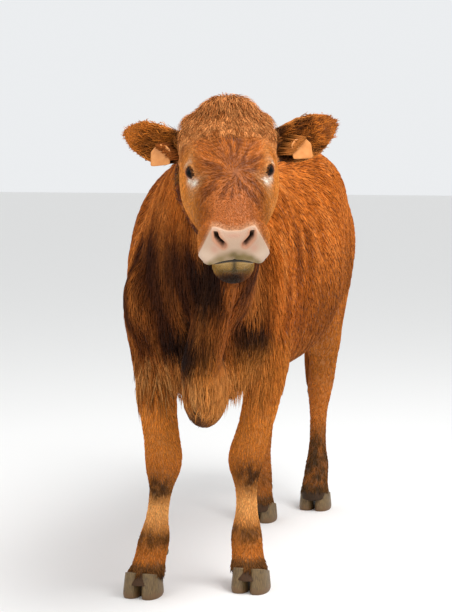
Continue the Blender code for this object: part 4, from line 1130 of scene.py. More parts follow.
def round_and_along(p, n, code):
    """For each place the angle round its region's axis and the share of the way along it, from 0 to 1."""
    q = to_head(p)
    x, y, z = p.T
    angle, along = np.zeros(len(p)), np.zeros(len(p))
    at = code == TRUNK_R
    angle[at] = np.arctan2(x[at] - body_bend(y[at]), z[at] - 0.92)
    along[at] = (y[at] + 0.80) / 1.68
    at = code == NECK_R
    axis = unit(np.array([0.30, -0.80, 0.45]))
    rel = p[at] - np.array([0.03, -0.55, 1.02])
    flat = rel - (rel @ axis)[:, None] * axis
    angle[at] = np.arctan2(flat[:, 0] * 0.93 + flat[:, 1] * 0.35, flat[:, 2])
    along[at] = (rel @ axis + 0.15) / 0.75
    at = code == HEAD_R
    far = np.hypot(q[at, 0], q[at, 2] + 0.11)
    angle[at] = np.arctan2(q[at, 0], q[at, 2] + 0.11)
    along[at] = (q[at, 1] - far + 0.25) / 0.75
    ear, side = ear_place(q)
    way = n @ HEAD_TURN
    way[:, 0] *= side
    half = np.where(way @ ear_frame(1)[2] > 0, 0.5, -0.5)
    at = (code == EAR_L) | (code == EAR_R)
    angle[at] = (np.clip(ear[at, 1] / 0.085, -1, 1) * 0.46 + half[at]) * math.pi
    along[at] = ear[at, 0] / 0.26
    for region, rows in ((FORE_L, FORELEG_LEFT), (FORE_R, FORELEG_RIGHT)):
        at = code == region
        known = np.array(rows)[::-1]
        middle_x = np.interp(z[at], known[:, 0], known[:, 1])
        middle_y = np.interp(z[at], known[:, 0], known[:, 2])
        angle[at] = np.arctan2(x[at] - middle_x, middle_y - y[at])
        along[at] = z[at] / 0.65
    known = np.array(HINDLEG)[::-1]
    for region, side, shift in ((HIND_L, 1, 0.0), (HIND_R, -1, RIGHT_STEP)):
        at = code == region
        middle_x = side * np.interp(z[at], known[:, 0], known[:, 1])
        middle_y = np.interp(z[at], known[:, 0], (known[:, 2] + known[:, 3]) / 2)
        middle_y = middle_y - shift * np.clip((1.02 - z[at]) / 0.86, 0, 1) ** 1.15
        angle[at] = np.arctan2(x[at] - middle_x, middle_y - y[at])
        along[at] = z[at] / 0.90
    at = code == TAIL_R
    angle[at] = np.arctan2(x[at], y[at] - 0.878)
    along[at] = (z[at] - 0.35) / 0.90
    return angle, np.clip(along, 0.0, 1.0)


def on_tile(angle, along, code):
    """The place on the map of an angle and a share along the region, with a margin round each tile."""
    tile = np.array([TILES[i] for i in range(len(TILES))])[code]
    u = tile[:, 0] + tile[:, 2] * (0.5 + 0.46 * angle / math.pi)
    v = tile[:, 1] + tile[:, 3] * (0.03 + 0.94 * along)
    return np.stack([u, v], axis=1)


def bake_places(p, n, code):
    return on_tile(*round_and_along(p, n, code), code)


def skin_map(mesh):
    """The skin's own map: every face in its middle's tile, and a face across the seam carried on past the
    tile's edge."""
    faces = triangles(mesh)
    p, n = places(mesh), normals(mesh)
    face_code = region_of(p[faces].mean(axis=1))
    face_n = unit(n[faces].mean(axis=1))
    code = np.repeat(face_code, 3)
    angle, along = round_and_along(p[faces].reshape(-1, 3), np.repeat(face_n, 3, axis=0), code)
    angle = angle.reshape(-1, 3)
    wraps = (angle.max(axis=1) - angle.min(axis=1) > math.pi) & (face_code != EAR_L) & (face_code != EAR_R)
    angle = np.where(wraps[:, None] & (angle < 0), angle + 2 * math.pi, angle).ravel()
    uv_map(mesh, on_tile(angle, along, code))


# ---- The coat ----
def turned(way, share, towards):
    """A way, turned by a share towards another one."""
    return way * (1 - share)[:, None] + towards * share[:, None]


def lie_of_coat(p, code):
    """The way the hair points: back and down over the body, down the legs, outwards from the whorl of the
    forehead, forwards from the poll, down the cheeks, along the ears and down the tail."""
    q = to_head(p)
    h, s, u = q.T
    x, y, z = p.T
    back = np.where(code == NECK_R, 0.30, 0.50 * step(0.50, 0.85, z) + 0.04)
    chest = step(-0.50, -0.62, y) * (code != HEAD_R)
    body = np.stack([0 * x, back * (1 - chest) + 0.16 * chest, -0.95 + 0 * x], axis=1)
    body[code == TAIL_R] = [0.0, 0.0, -1.0]
    r = np.hypot(h - WHORL[0], s - WHORL[1]) + 1e-6
    out = np.stack([h - WHORL[0], s - WHORL[1], 0 * h], axis=1) / r[:, None]
    turn = np.stack([-out[:, 1], out[:, 0], 0 * h], axis=1)
    face = out + turn * (0.9 * peak(r, 0.0, 0.035))[:, None]
    poll = step(0.004, -0.014, past_meeting(q))
    face = turned(face, poll, np.stack([h * 5.0, 0.9 + 0 * h, 0 * h], axis=1))
    cheek = np.maximum(step(0.085, 0.112, np.abs(h)), step(-0.085, -0.13, u)) * step(0.40, 0.33, s)
    face = turned(face, cheek, np.array([0.0, 0.42, -0.9]))
    face = turned(face, step(0.36, 0.39, s) * step(-0.10, -0.13, u), np.array([0.0, 0.25, -1.0]))
    face = turned(face, step(-0.19, -0.23, u) * step(0.37, 0.33, s), np.array([0.0, -0.9, -0.4]))
    face = turned(face, step(-0.028, -0.040, s) * step(-0.12, -0.08, u), np.array([0.0, -0.6, -0.8]))
    ear, side = ear_place(q)
    local = np.stack([0.9 + 0 * h, 0.55 * np.clip(ear[:, 1] / 0.06, -1, 1), 0 * h], axis=1)
    ear_way = np.where(side[:, None] > 0, local @ ear_frame(1), local @ ear_frame(-1))
    ear_way[:, 0] *= side
    on_ear = (code == EAR_L) | (code == EAR_R)
    head_way = np.where(on_ear[:, None], ear_way, face) @ HEAD_TURN.T
    return np.where(((code == HEAD_R) | on_ear)[:, None], head_way, body)


def flat_on(way, n):
    return unit(way - (way * n).sum(axis=1)[:, None] * n)


def on_skin(skin, p):
    """The nearest place on the skin to each of the places."""
    dots = bpy.data.objects.new("dots", mesh_of("dots", p, np.zeros((0, 3), int)))
    bpy.context.scene.collection.objects.link(dots)
    wrap = dots.modifiers.new("wrap", "SHRINKWRAP")
    wrap.wrap_method = "NEAREST_SURFACEPOINT"
    wrap.target = skin
    settle(dots)
    co = places(dots.data)
    bpy.data.objects.remove(dots, do_unlink=True)
    return co


def scatter(cow, chosen, density, count):
    """Roots on the chosen faces, as many on each as its area and the density ask, and the skin's normals."""
    p, n = cow["p"], cow["n"]
    f = cow["faces"][chosen]
    area = np.linalg.norm(np.cross(p[f[:, 1]] - p[f[:, 0]], p[f[:, 2]] - p[f[:, 0]]), axis=1)
    total = np.cumsum(area * density[chosen])
    spots = (np.arange(count) + random.random(count)) / count * total[-1]
    f = f[np.clip(np.searchsorted(total, spots), 0, len(f) - 1)]
    r1, r2 = np.sqrt(random.random(count)), random.random(count)
    w = np.stack([1 - r1, r1 * (1 - r2), r1 * r2], axis=1)[..., None]
    return (p[f] * w).sum(axis=1), unit((n[f] * w).sum(axis=1))


def tuft_faces(count, rings):
    """Faces of `count` locks: a cap, three-sided spans between `rings` rings, and a tip."""
    each = rings * 3 + 1
    faces = [[0, 2, 1]]
    for k in range(rings - 1):
        for a in range(3):
            b = (a + 1) % 3
            faces += [[3 * k + a, 3 * k + b, 3 * k + 3 + b], [3 * k + a, 3 * k + 3 + b, 3 * k + 3 + a]]
    k = rings - 1
    faces += [[3 * k + a, 3 * k + (a + 1) % 3, each - 1] for a in range(3)]
    return (np.arange(count)[:, None, None] * each + np.array(faces)[None]).reshape(-1, 3)


def tufts(name, skin, roots, n, code, length, width, lift, rings=3, **look):
    """Locks of hair. Each follows the lie of the coat over the skin in steps, rises to its lift at the tip,
    sways from side to side by `wave`, and has a three-sided section that swells and then runs out to a point.
    `stray` turns whole locks, `droop` pulls them down, and `loose` locks hang free of the skin. `tone` is how
    far their shades differ, and `dim` the painted shade at their roots, which lightens towards the tips."""
    look = {"wave": 0.0, "stray": 0.16, "tone": 0.16, "droop": 0.0, "dim": 0.66, "loose": 0.0} | look
    count = len(roots)
    sway = random.normal(0.0, look["stray"], (count, 1))
    phase = random.random((count, 1)) * 2 * math.pi
    reach = (length / rings)[:, None]
    p, normal, way = roots, n, None
    path, ups, ways = [roots - n * ROOT_DEPTH], [n], []
    for k in range(rings):
        wanted = flat_on(lie_of_coat(p, code), normal)
        wanted = unit(wanted + np.cross(normal, wanted) * sway)
        way = wanted if way is None else unit(0.45 * way + 0.55 * wanted)
        free = p + way * reach
        free[:, 2] -= look["droop"] * reach[:, 0] * k
        q = on_skin(skin, free + normal * 0.0015)
        left_skin = np.linalg.norm(q - p, axis=1)[:, None] < 0.62 * reach
        q = np.where(left_skin, free, q) * (1 - look["loose"]) + free * look["loose"]
        way = unit(q - p)
        normal = unit(normal - (normal * way).sum(axis=1)[:, None] * way)
        p = q
        share = (k + 1) / rings
        swing = look["wave"] * np.sin(phase + 2.6 * share * math.pi / 1.3) * share
        path.append(p + normal * (lift[:, None] * share ** 0.8) + np.cross(normal, way) * swing)
        ups.append(normal)
        ways.append(way)
    ways.append(ways[-1])
    points = []
    for k in range(rings):
        half = (width / 2 * LOCK_SWELL[k])[:, None]
        across = np.cross(ups[k], ways[k]) * half
        under = ups[k] * half * 0.25
        points += [path[k] + across - under, path[k] - across - under, path[k] + ups[k] * half * 0.62]
    points = np.stack([*points, path[rings]], axis=1)
    mesh = mesh_of(name, points.reshape(-1, 3), tuft_faces(count, rings)[:, ::-1])
    colour = markings_and_painted_light(roots, code) * (1 + random.normal(0.0, look["tone"], (count, 1)).clip(-0.45, 0.45))
    # Painted shade at each lock's root, where the locks shade each other, lightening to its tip.
    shade = np.concatenate([np.repeat(np.linspace(look["dim"], 1.05, rings), 3), [1.10]])
    paint(mesh, (colour[:, None] * shade[None, :, None]).reshape(-1, 3).clip(0.002, 1))
    spread = np.stack([np.tile([-1.0, 1.0, 0.0], rings), np.repeat(np.linspace(-1, 0.6, rings), 3)], axis=1)
    bake_patches(mesh, bake_places(roots, n, code), np.concatenate([spread, [[0.0, 1.0]]]))
    return mesh


def bake_patches(mesh, home, spread):
    """The OFBake map of a piece of locks: each lock a small patch round its root's place on the unwrap."""
    corners = triangles(mesh)
    each = len(spread)
    uv_map(mesh, home[corners // each] + PATCH / 2 * spread[corners % each])


def patch(cow, name, chosen, density, count, rings, size, broad, rise, **look):
    """One piece of the coat: its name, and `count` locks on the chosen faces. Length, width and lift are
    numbers, or functions of the roots' places."""
    roots, n = scatter(cow, chosen, density, count)
    length, width, lift = [v(roots) if callable(v) else np.full(count, v) for v in (size, broad, rise)]
    length = length * random.uniform(0.75, 1.25, count)
    width = width * random.uniform(0.7, 1.25, count)
    lift = lift * random.uniform(0.25, 1.0, count)
    code = region_of(roots)
    return name, tufts(name, cow["skin"], roots, n, code, length, width, lift, rings=rings, **look)


def body_coat(cow):
    """Short flat locks on the barrel, longer ones on neck and chest, and a loose fringe below the chest."""
    x, y, z = cow["middle"].T
    trunk, neck = cow["code"] == TRUNK_R, cow["code"] == NECK_R
    even = np.ones(len(x))
    chest = (neck | trunk) & (y < -0.47) & (z < 1.0)
    barrel = trunk & ~chest
    low = (neck | trunk) & (y < -0.44) & (z < 0.690) & (z > 0.585) & (np.abs(x - KEEL) > 0.050)

    def barrel_size(r):
        return 0.034 + 0.010 * step(0.75, 0.62, r[:, 2])

    def chest_size(r):
        return 0.048 + 0.040 * step(0.70, 0.62, r[:, 2]) * step(0.05, 0.09, np.abs(r[:, 0] - KEEL))

    def fringe_size(r):
        return 0.026 + 0.030 * step(0.60, 0.635, r[:, 2])

    return [
        *[patch(cow, name, barrel & side, even, 11600, 3, barrel_size, 0.0046, 0.0052, wave=0.0015, tone=0.17)
          for name, side in (("coat_body_left", x > 0.0), ("coat_body_right", x <= 0.0))],
        patch(cow, "coat_neck", neck & ~chest, even, 8600, 4, 0.046, 0.0042, 0.0070,
              wave=0.0030, stray=0.18, tone=0.19),
        patch(cow, "coat_chest", chest, even, 8800, 4, chest_size, 0.0046, 0.0085,
              wave=0.0036, stray=0.20, droop=0.10, tone=0.20),
        patch(cow, "coat_fringe", low, even, 760, 4, fringe_size, 0.0042, 0.0060,
              wave=0.0040, stray=0.20, tone=0.2, droop=0.25, loose=1.0),
    ]


def head_coat(cow):
    """The smallest locks on the face, longer ones on the poll, and the ears' backs and lining."""
    q, code = cow["q"], cow["code"]
    even = np.ones(len(q))
    head = code == HEAD_R
    bare = np.maximum(pad_share(q), lip_share(q) * 0.45)
    _, _, size, far, _, _ = eye_place(q)
    opening = (size < 1.35) & (far < 0.04)
    poll = head & (past_meeting(q) + 0.008 * mottle(q, 0.011, 29) < -0.026) & (q[:, 2] > -0.10)
    over = q[:, 2] - mouth_line(q)
    near_pad = (pad_edge(q) > -0.005) & (pad_share(q) + (over > 0) > 0.5) & (q[:, 1] > 0.39)
    mouth = (np.abs(over + 0.006) < 0.009) & (q[:, 1] > 0.39)
    face = head & ~poll & ~opening & (bare < 0.5) & ~near_pad & ~mouth
    density = 1.0 + 1.2 * step(0.32, 0.38, q[:, 1]) + 1.2 * step(0.05, 0.035, far)
    ears = (code == EAR_L) | (code == EAR_R)
    corners = cow["p"][cow["faces"]]
    out = unit(np.cross(corners[:, 1] - corners[:, 0], corners[:, 2] - corners[:, 0])) @ HEAD_TURN
    out[:, 0] *= np.sign(q[:, 0])
    lining = ears & (out @ np.array(ear_axes(1)[2]) > 0.2) & (ear_place(q)[0][:, 0] < 0.15)

    def face_size(r):
        at = to_head(r)
        base = 0.0160 - 0.0070 * step(0.30, 0.38, at[:, 1]) + 0.006 * step(0.09, 0.12, np.abs(at[:, 0]))
        base = base + 0.007 * step(0.235, 0.16, at[:, 1]) * step(-0.06, -0.02, at[:, 2])
        folded = np.stack([np.abs(at[:, 0]), at[:, 1], at[:, 2]], axis=1)
        from_eye = np.linalg.norm(folded - np.array(EYE_PLACE), axis=1)
        base = base * (1 - 0.55 * step(0.048, 0.030, from_eye))
        base = base * (1 - 0.45 * step(-0.030, -0.008, pad_edge(at)) * (at[:, 1] > 0.38))
        chin = step(0.36, 0.39, at[:, 1]) * step(-0.150, -0.180, at[:, 2])
        return base * (1 - 0.3 * chin) + 0.013 * chin

    def face_broad(r):
        return 0.0018 - 0.0005 * step(0.30, 0.38, to_head(r)[:, 1])

    def poll_size(r):
        return 0.026 + 0.028 * step(-0.03, -0.10, past_meeting(to_head(r)))

    def poll_rise(r):
        at = to_head(r)
        crest = step(0.040, -0.01, at[:, 1]) * step(-0.042, -0.030, at[:, 1])
        return 0.0022 + 0.0058 * step(-0.02, -0.10, past_meeting(at)) + 0.013 * crest

    return [
        patch(cow, "coat_face", face, density, 19500, 2, face_size, face_broad, 0.0017,
              stray=0.13, tone=0.13, dim=0.84),
        patch(cow, "coat_poll", poll, even, 5000, 4, poll_size, 0.0026, poll_rise,
              wave=0.0030, stray=0.17, tone=0.26, dim=0.84),
        patch(cow, "coat_ears", ears, even, 8000, 2, 0.015, 0.0019, 0.0020, stray=0.22, tone=0.12, dim=0.80),
        patch(cow, "coat_ear_lining", lining, even, 900, 4, 0.030, 0.0026, 0.0150,
              wave=0.0030, stray=0.45, tone=0.25),
    ]


def leg_coat(cow):
    """Short locks down the legs, a loose row over each foot's rim, and the tail with its switch."""
    x, y, z = cow["middle"].T
    code = cow["code"]

    def above_foot(region, foot):
        return (code == region) & (z > CLAW_HEIGHT + 0.003 - CORONET_SLOPE * (y - foot.y))

    fore = above_foot(FORE_L, FORE_LEFT) | above_foot(FORE_R, FORE_RIGHT)
    hind = above_foot(HIND_L, HIND_LEFT) | above_foot(HIND_R, HIND_RIGHT)
    rims = (fore | hind) & (z < CLAW_HEIGHT + 0.026)
    tail = (code == TAIL_R) & (z > 0.41)

    def leg_size(r):
        return 0.0165 + 0.012 * step(0.42, 0.60, r[:, 2])

    def leg_broad(r):
        return 0.0026 + 0.0014 * step(0.42, 0.60, r[:, 2])

    def tail_size(r):
        return 0.024 + 0.052 * step(0.74, 0.60, r[:, 2])

    def tail_rise(r):
        return 0.0035 + 0.006 * step(0.70, 0.58, r[:, 2])

    return [
        *[patch(cow, name, legs, 1.0 + 1.3 * step(0.55, 0.35, z), 11300, 2, leg_size, leg_broad, 0.0028,
                stray=0.16, tone=0.12, dim=0.80)
          for name, legs in (("coat_forelegs", fore), ("coat_hindlegs", hind))],
        patch(cow, "coat_coronets", rims, np.ones(len(x)), 1300, 3, 0.021, 0.0032, 0.0065,
              stray=0.14, tone=0.14, dim=0.80, loose=1.0),
        patch(cow, "coat_tail", tail, 1.0 + 1.5 * step(0.72, 0.62, z), 3000, 4, tail_size, 0.0034, tail_rise,
              wave=0.0040, stray=0.14, tone=0.2, droop=0.3),
    ]


def tag_hair(side):
    """Long hair of the ear's edge towards the head, combed outwards over the upper corner of the tag."""
    count = 150
    along, across, opening = ear_frame(side)
    pin, wide_way, down_way = tag_place(side)
    share = random.random(count)
    wide, down = 0.30 - 0.82 * share, 0.02 + 0.72 * share + random.normal(0.0, 0.07, count)
    tip = pin + (wide * TAG_WIDTH)[:, None] * wide_way + (down * TAG_HEIGHT)[:, None] * down_way
    aim = unit(0.85 * along + (0.40 + random.normal(0.0, 0.10, count))[:, None] * across)
    reach = random.uniform(0.024, 0.042, count)[:, None]
    cross = np.cross(opening, aim)
    points = []
    for k, half in ((0.0, 0.0012), (0.5, 0.0011), (0.85, 0.0007)):
        rise = opening * (-0.008 + 0.0235 * k ** 0.6) + down_way * 0.004 * (k * k - 1)
        path = tip - aim * reach * (1 - k) + rise
        points += [path + cross * half, path - cross * half, path + opening * half * 0.7]
    points = np.stack([*points, tip + opening * 0.0150], axis=1).reshape(-1, 3) * [side, 1, 1]
    faces = tuft_faces(count, 3)
    mesh = mesh_of("tag_hair", from_head(points), faces if side < 0 else faces[:, ::-1])
    tone = 1 + random.normal(0.0, 0.16, (count, 1)).clip(-0.4, 0.4)
    tone = tone * tint("#A8662C" if side > 0 else "#8E4C1C")
    # Painted shade at the locks' roots, lightening to their tips.
    shade = np.concatenate([np.repeat([0.45, 0.95, 1.1], 3), [1.2]])
    paint(mesh, (tone[:, None] * shade[None, :, None]).reshape(-1, 3))
    root = from_head(points.reshape(count, -1, 3)[:, 0])
    way = np.tile((opening * [side, 1, 1]) @ HEAD_TURN.T, (count, 1))
    fan = np.stack([np.arange(10) % 3 - 1.0, np.arange(10) / 5 - 1], axis=1)
    bake_patches(mesh, bake_places(root, way, np.full(count, EAR_L if side > 0 else EAR_R)), fan)
    return mesh


def lashes():
    """A row of fine, curved hairs on each upper lid, pointing out and down."""
    count = 30
    spots = np.linspace(-0.75, 0.85, count)
    lid = EYE_OPENING[1] * (1 - np.abs(spots) ** LID_POWER) ** (1 / LID_POWER)
    root = np.array(EYE_PLACE) + on_eye(spots * EYE_OPENING[0], lid) * (EYE_RADIUS + 0.0016)
    share = np.array([0.0, 0.35, 0.7, 1.0])[:, None, None]
    reach = (0.013 + 0.002 * random.random(count))[None, :, None]
    aim = 0.85 * FACING + 0.35 * LIFT + 0.25 * spots[:, None] * SLIT
    path = root + reach * share * aim - reach * share ** 2 * 0.35 * LIFT
    points = []
    for k, half in enumerate((0.00035, 0.0003, 0.0002)):
        points += [path[k] + SLIT * half, path[k] - SLIT * half, path[k] + LIFT * half]
    points = np.stack([*points, path[3]], axis=1).reshape(-1, 3)
    both = from_head(np.concatenate([points, points * [-1, 1, 1]]))
    faces = tuft_faces(count, 3)
    mesh = mesh_of("coat_lashes", both, faces, faces[:, ::-1] + len(points))
    paint(mesh, np.tile(tint("#7A4A22"), (len(both), 1)))
    uv_map(mesh, bake_places(both, both * 0 + 1, np.full(len(both), HEAD_R))[triangles(mesh)])
    return mesh


# ---- Eyes ----
def eyeball(side):
    """A ball with a cornea that swells towards the front, a brown iris and a pupil that lies level: its
    surface is the radius times 1 plus a small swell that fades away from the gaze."""
    turns, rings = 72, 42
    polar = np.linspace(0.0, math.pi, rings + 2)[1:-1, None]
    turn = np.linspace(0.0, 2 * math.pi, turns, endpoint=False)
    ball = [np.sin(polar) * np.cos(turn), np.sin(polar) * np.sin(turn), np.cos(polar) + 0 * turn]
    way = np.concatenate([np.stack(ball, axis=-1).reshape(-1, 3), [[0, 0, 1.0], [0, 0, -1.0]]])
    gaze = unit(np.array([0.58, 0.60, 0.55]))
    level = unit(np.cross(gaze, [0.0, -0.30, 1.0]))
    rise = np.cross(level, gaze)
    rise = rise * np.sign(rise[2])
    swell = 1 + 0.045 * step(0.72, 0.92, way[:, 2])
    q = np.array(EYE_PLACE) + way @ np.array([level, rise, gaze]) * (EYE_RADIUS * swell)[:, None]
    mesh = outwards(mesh_of("eye", from_head(q * [side, 1, 1]), *tube_faces(rings, turns)))
    iris = np.hypot(way[:, 0], way[:, 1])
    pupil = np.hypot(way[:, 0] / 0.36, way[:, 1] / 0.20)
    front = way[:, 2] > 0
    c = mark(np.tile(tint("#4A3C34"), (len(q), 1)), "#140B07", step(0.90, 0.84, iris) * front)
    c = mark(c, "#1E110A", step(0.60, 0.45, iris) * front * 0.6)
    paint(mesh, mark(c, "#050608", step(1.08, 0.96, pupil) * front))
    return mesh


# ---- Claws ----
def claw_surface(foot, side):
    """One claw's wall: D-shaped rings from the sole to the coronet, with fine growth ridges, and a rounded
    lower edge. The radius at a turn is a superellipse's, a little wavy with height."""
    turns = 56
    share = np.concatenate([[0.0, 0.03, 0.08], np.linspace(0.14, 1.0, 22)])
    outer = np.interp(share, [0, 0.15, 1], [0.0550, 0.0555, 0.0500]) - CLAW_SPLIT
    toe = np.interp(share, [0, 0.15, 1], [-0.0550, -0.0560, -0.0450])
    heel = np.interp(share, [0, 0.15, 1], [0.047, 0.049, 0.049])
    growth = 0.5 + 0.5 * np.sin(share * 44 + 0.6 * np.sin(share * 17))
    ridge = 1 - 0.010 * growth - 0.06 * (1 - share) ** 12
    c, s = rounded(turns, np.full(len(share), 2.5))
    x = CLAW_SPLIT + outer[:, None] * (0.5 + 0.5 * c * ridge[:, None])
    x = np.where(c < 0, CLAW_SPLIT + outer[:, None] * 0.5 * (1 + 0.94 * c), x)
    y = ((toe + heel) / 2)[:, None] + ((heel - toe) / 2 * ridge)[:, None] * s
    x = x - np.where(y < 0, 0.10 * (y / 0.056) ** 2 * (x - CLAW_SPLIT), 0.0)
    z = share[:, None] * (CLAW_HEIGHT - CORONET_SLOPE * y)
    rings = np.stack([foot.x + side * x, foot.y + y, z], axis=-1)
    middle = rings.mean(axis=1)
    points = np.concatenate([rings.reshape(-1, 3), middle[:1], middle[-1:] + [0, 0, 0.004]])
    quads, fans = tube_faces(len(share), turns)
    return mesh_of("claw", points, quads[:, ::side], fans[:, ::side])


def dewclaw_surface(place):
    """A blunt little horn: rings whose radius follows a half ellipse, leaning back."""
    turns, count = 20, 9
    share = np.linspace(-1.0, 1.0, count + 2)[1:-1, None]
    radius = 0.0130 * np.sqrt(1 - share ** 2) ** 0.8
    turn = np.linspace(0.0, 2 * math.pi, turns, endpoint=False)
    x = place.x + radius * np.cos(turn)
    y = place.y + radius * np.sin(turn) + 0.003 * (1 - share)
    z = place.z - 0.001 + share * 0.0165 + 0 * turn
    ends = [[place.x, place.y + 0.006, place.z - 0.0175], [place.x, place.y, place.z + 0.0155]]
    points = np.concatenate([np.stack([x, y, z], axis=-1).reshape(-1, 3), ends])
    return mesh_of("dewclaw", points, *tube_faces(count, turns))


# ---- Ear tags ----
# The flag's half width down its length, as shares of its width and height: a narrow neck, then a shield
TAG_OUTLINE = (
    (0.0, 0.24), (0.05, 0.32), (0.24, 0.475), (0.32, 0.50), (0.93, 0.50), (0.98, 0.48), (1.0, 0.45),
)
# The button's profile: radius, and place along the pin with the ear's opening in front
BUTTON_PROFILE = (
    (0.0060, -0.0425), (0.0112, -0.0420), (0.0128, -0.0408), (0.0130, -0.0395), (0.0120, -0.0382),
    (0.0045, -0.0380), (0.0034, -0.0370), (0.0030, -0.0300), (0.0030, 0.0068), (0.0040, 0.0075),
    (0.0046, 0.0086), (0.0040, 0.0100),
)
BUTTON_ENDS = (-0.0425, 0.0104)


def tag_place(side):
    """Where the pin goes through the ear, and the ways across the tag and down it."""
    along, across = ear_frame(side)[:2]
    pin = np.array(EAR_ROOT) + along * (EAR_LENGTH[side] * TAG_SHARE[side]) + across * TAG_DROP
    cos, sin = math.cos(TAG_TURN[side]), math.sin(TAG_TURN[side])
    return pin, along * cos + across * sin, across * cos - along * sin


def tag_surface(side):
    """The flag: a plate on a grid of width and drop, its outline a rounded shield with a narrow neck, bowed
    a little across its width; both faces and a rim close it."""
    opening = ear_frame(side)[2]
    pin, wide_way, down_way = tag_place(side)
    size = 25
    a = np.abs(np.linspace(-1, 1, size))[None, :]
    t = np.linspace(0, 1, size)[:, None]
    half = np.interp(t, *np.array(TAG_OUTLINE).T)
    wide = half * np.linspace(-1, 1, size) * TAG_WIDTH
    down = (t - 0.02 * t * a ** 6) * TAG_HEIGHT
    bow = 0.0022 * (wide / (TAG_WIDTH / 2)) ** 2 + 0.0030 * t ** 2
    neck = 0.0007 * peak(t, 0.13, 0.06) * peak(wide, 0.0, 0.008)
    edge = 0.0005 * step(0.90, 1.0, np.maximum(a, t))
    flat = pin + opening * 0.006 + wide[..., None] * wide_way + down[..., None] * down_way
    heights = (bow + edge, bow + TAG_THICKNESS - edge + neck)
    sheets = [flat + height[..., None] * opening for height in heights]
    grid = np.arange(size * size).reshape(size, size)
    quads = np.stack([grid[:-1, :-1], grid[:-1, 1:], grid[1:, 1:], grid[1:, :-1]], axis=-1).reshape(-1, 4)
    rim = np.concatenate([grid[0, :-1], grid[:-1, -1], grid[-1, :0:-1], grid[:0:-1, 0]])
    wall = np.stack([rim, np.roll(rim, -1), np.roll(rim, -1) + grid.size, rim + grid.size], axis=1)
    points = from_head(np.stack(sheets).reshape(-1, 3) * [side, 1, 1])
    return outwards(mesh_of("tag", points, quads, quads[:, ::-1] + grid.size, wall[:, ::-1]))


def button_surface(side):
    """The round button behind the ear, with a domed rim, and the pin that joins it to the flag."""
    along, across, opening = ear_frame(side)
    turns = 40
    turn = np.linspace(0.0, 2 * math.pi, turns, endpoint=False)[:, None]
    r, d = np.array(BUTTON_PROFILE).T[:, :, None, None]
    rings = r * (np.cos(turn) * along + np.sin(turn) * across) + d * opening
    points = np.concatenate([rings.reshape(-1, 3), [end * opening for end in BUTTON_ENDS]])
    points = (points + tag_place(side)[0]) * [side, 1, 1]
    return outwards(mesh_of("button", from_head(points), *tube_faces(len(r), turns)))


# ---- Finishes ----
def add(tree, kind, inputs=None, **settings):
    """Adds one node: its settings by name, and its sockets' values or the sockets that feed them."""
    made = tree.nodes.new(kind)
    for key, value in settings.items():
        setattr(made, key, value)
    for key, value in (inputs or {}).items():
        socket = made.inputs[key]
        if isinstance(value, bpy.types.NodeSocket):
            tree.links.new(value, socket)
        else:
            socket.default_value = value
    return made


def finish(name, **sockets):
    """A Principled material with these plain values, and its tree, shader and Object coordinates."""
    made = bpy.data.materials.new(name)
    made.use_nodes = True
    tree = made.node_tree
    shader = tree.nodes["Principled BSDF"]
    for key, value in sockets.items():
        shader.inputs[key.replace("_", " ")].default_value = value
    return made, tree, shader, add(tree, "ShaderNodeTexCoord").outputs["Object"]


def feed(tree, shader, **sockets):
    """Sockets that feed the shader's, by their names."""
    for key, value in sockets.items():
        tree.links.new(value, shader.inputs[key.replace("_", " ")])


def shaded_markings(tree, shade):
    """The mesh's colours and painted light, times a shade."""
    marks = add(tree, "ShaderNodeAttribute", attribute_name="MarkingsAndPaintedLight", attribute_type="GEOMETRY")
    inputs = {"Factor": 1.0, "A": marks.outputs["Color"], "B": shade}
    return add(tree, "ShaderNodeMix", inputs, data_type="RGBA", blend_type="MULTIPLY").outputs["Result"]


def cow_hair():
    """Short cattle hair: almost no gloss, colour from the coat colours and painted light, and a fine
    unevenness of about 3 mm, drawn coarser than the hairs themselves."""
    made, tree, shader, place = finish("cow_hair", Roughness=0.60, Specular_IOR_Level=0.08)
    fine = add(tree, "ShaderNodeTexNoise", {"Vector": place, "Scale": 320.0, "Detail": 2.0})
    shade = add(tree, "ShaderNodeMapRange", {
        "Value": fine.outputs["Fac"], "From Min": 0.3, "From Max": 0.7, "To Min": 0.80, "To Max": 1.18})
    feed(tree, shader, Base_Color=shaded_markings(tree, shade.outputs["Result"]))
    return made


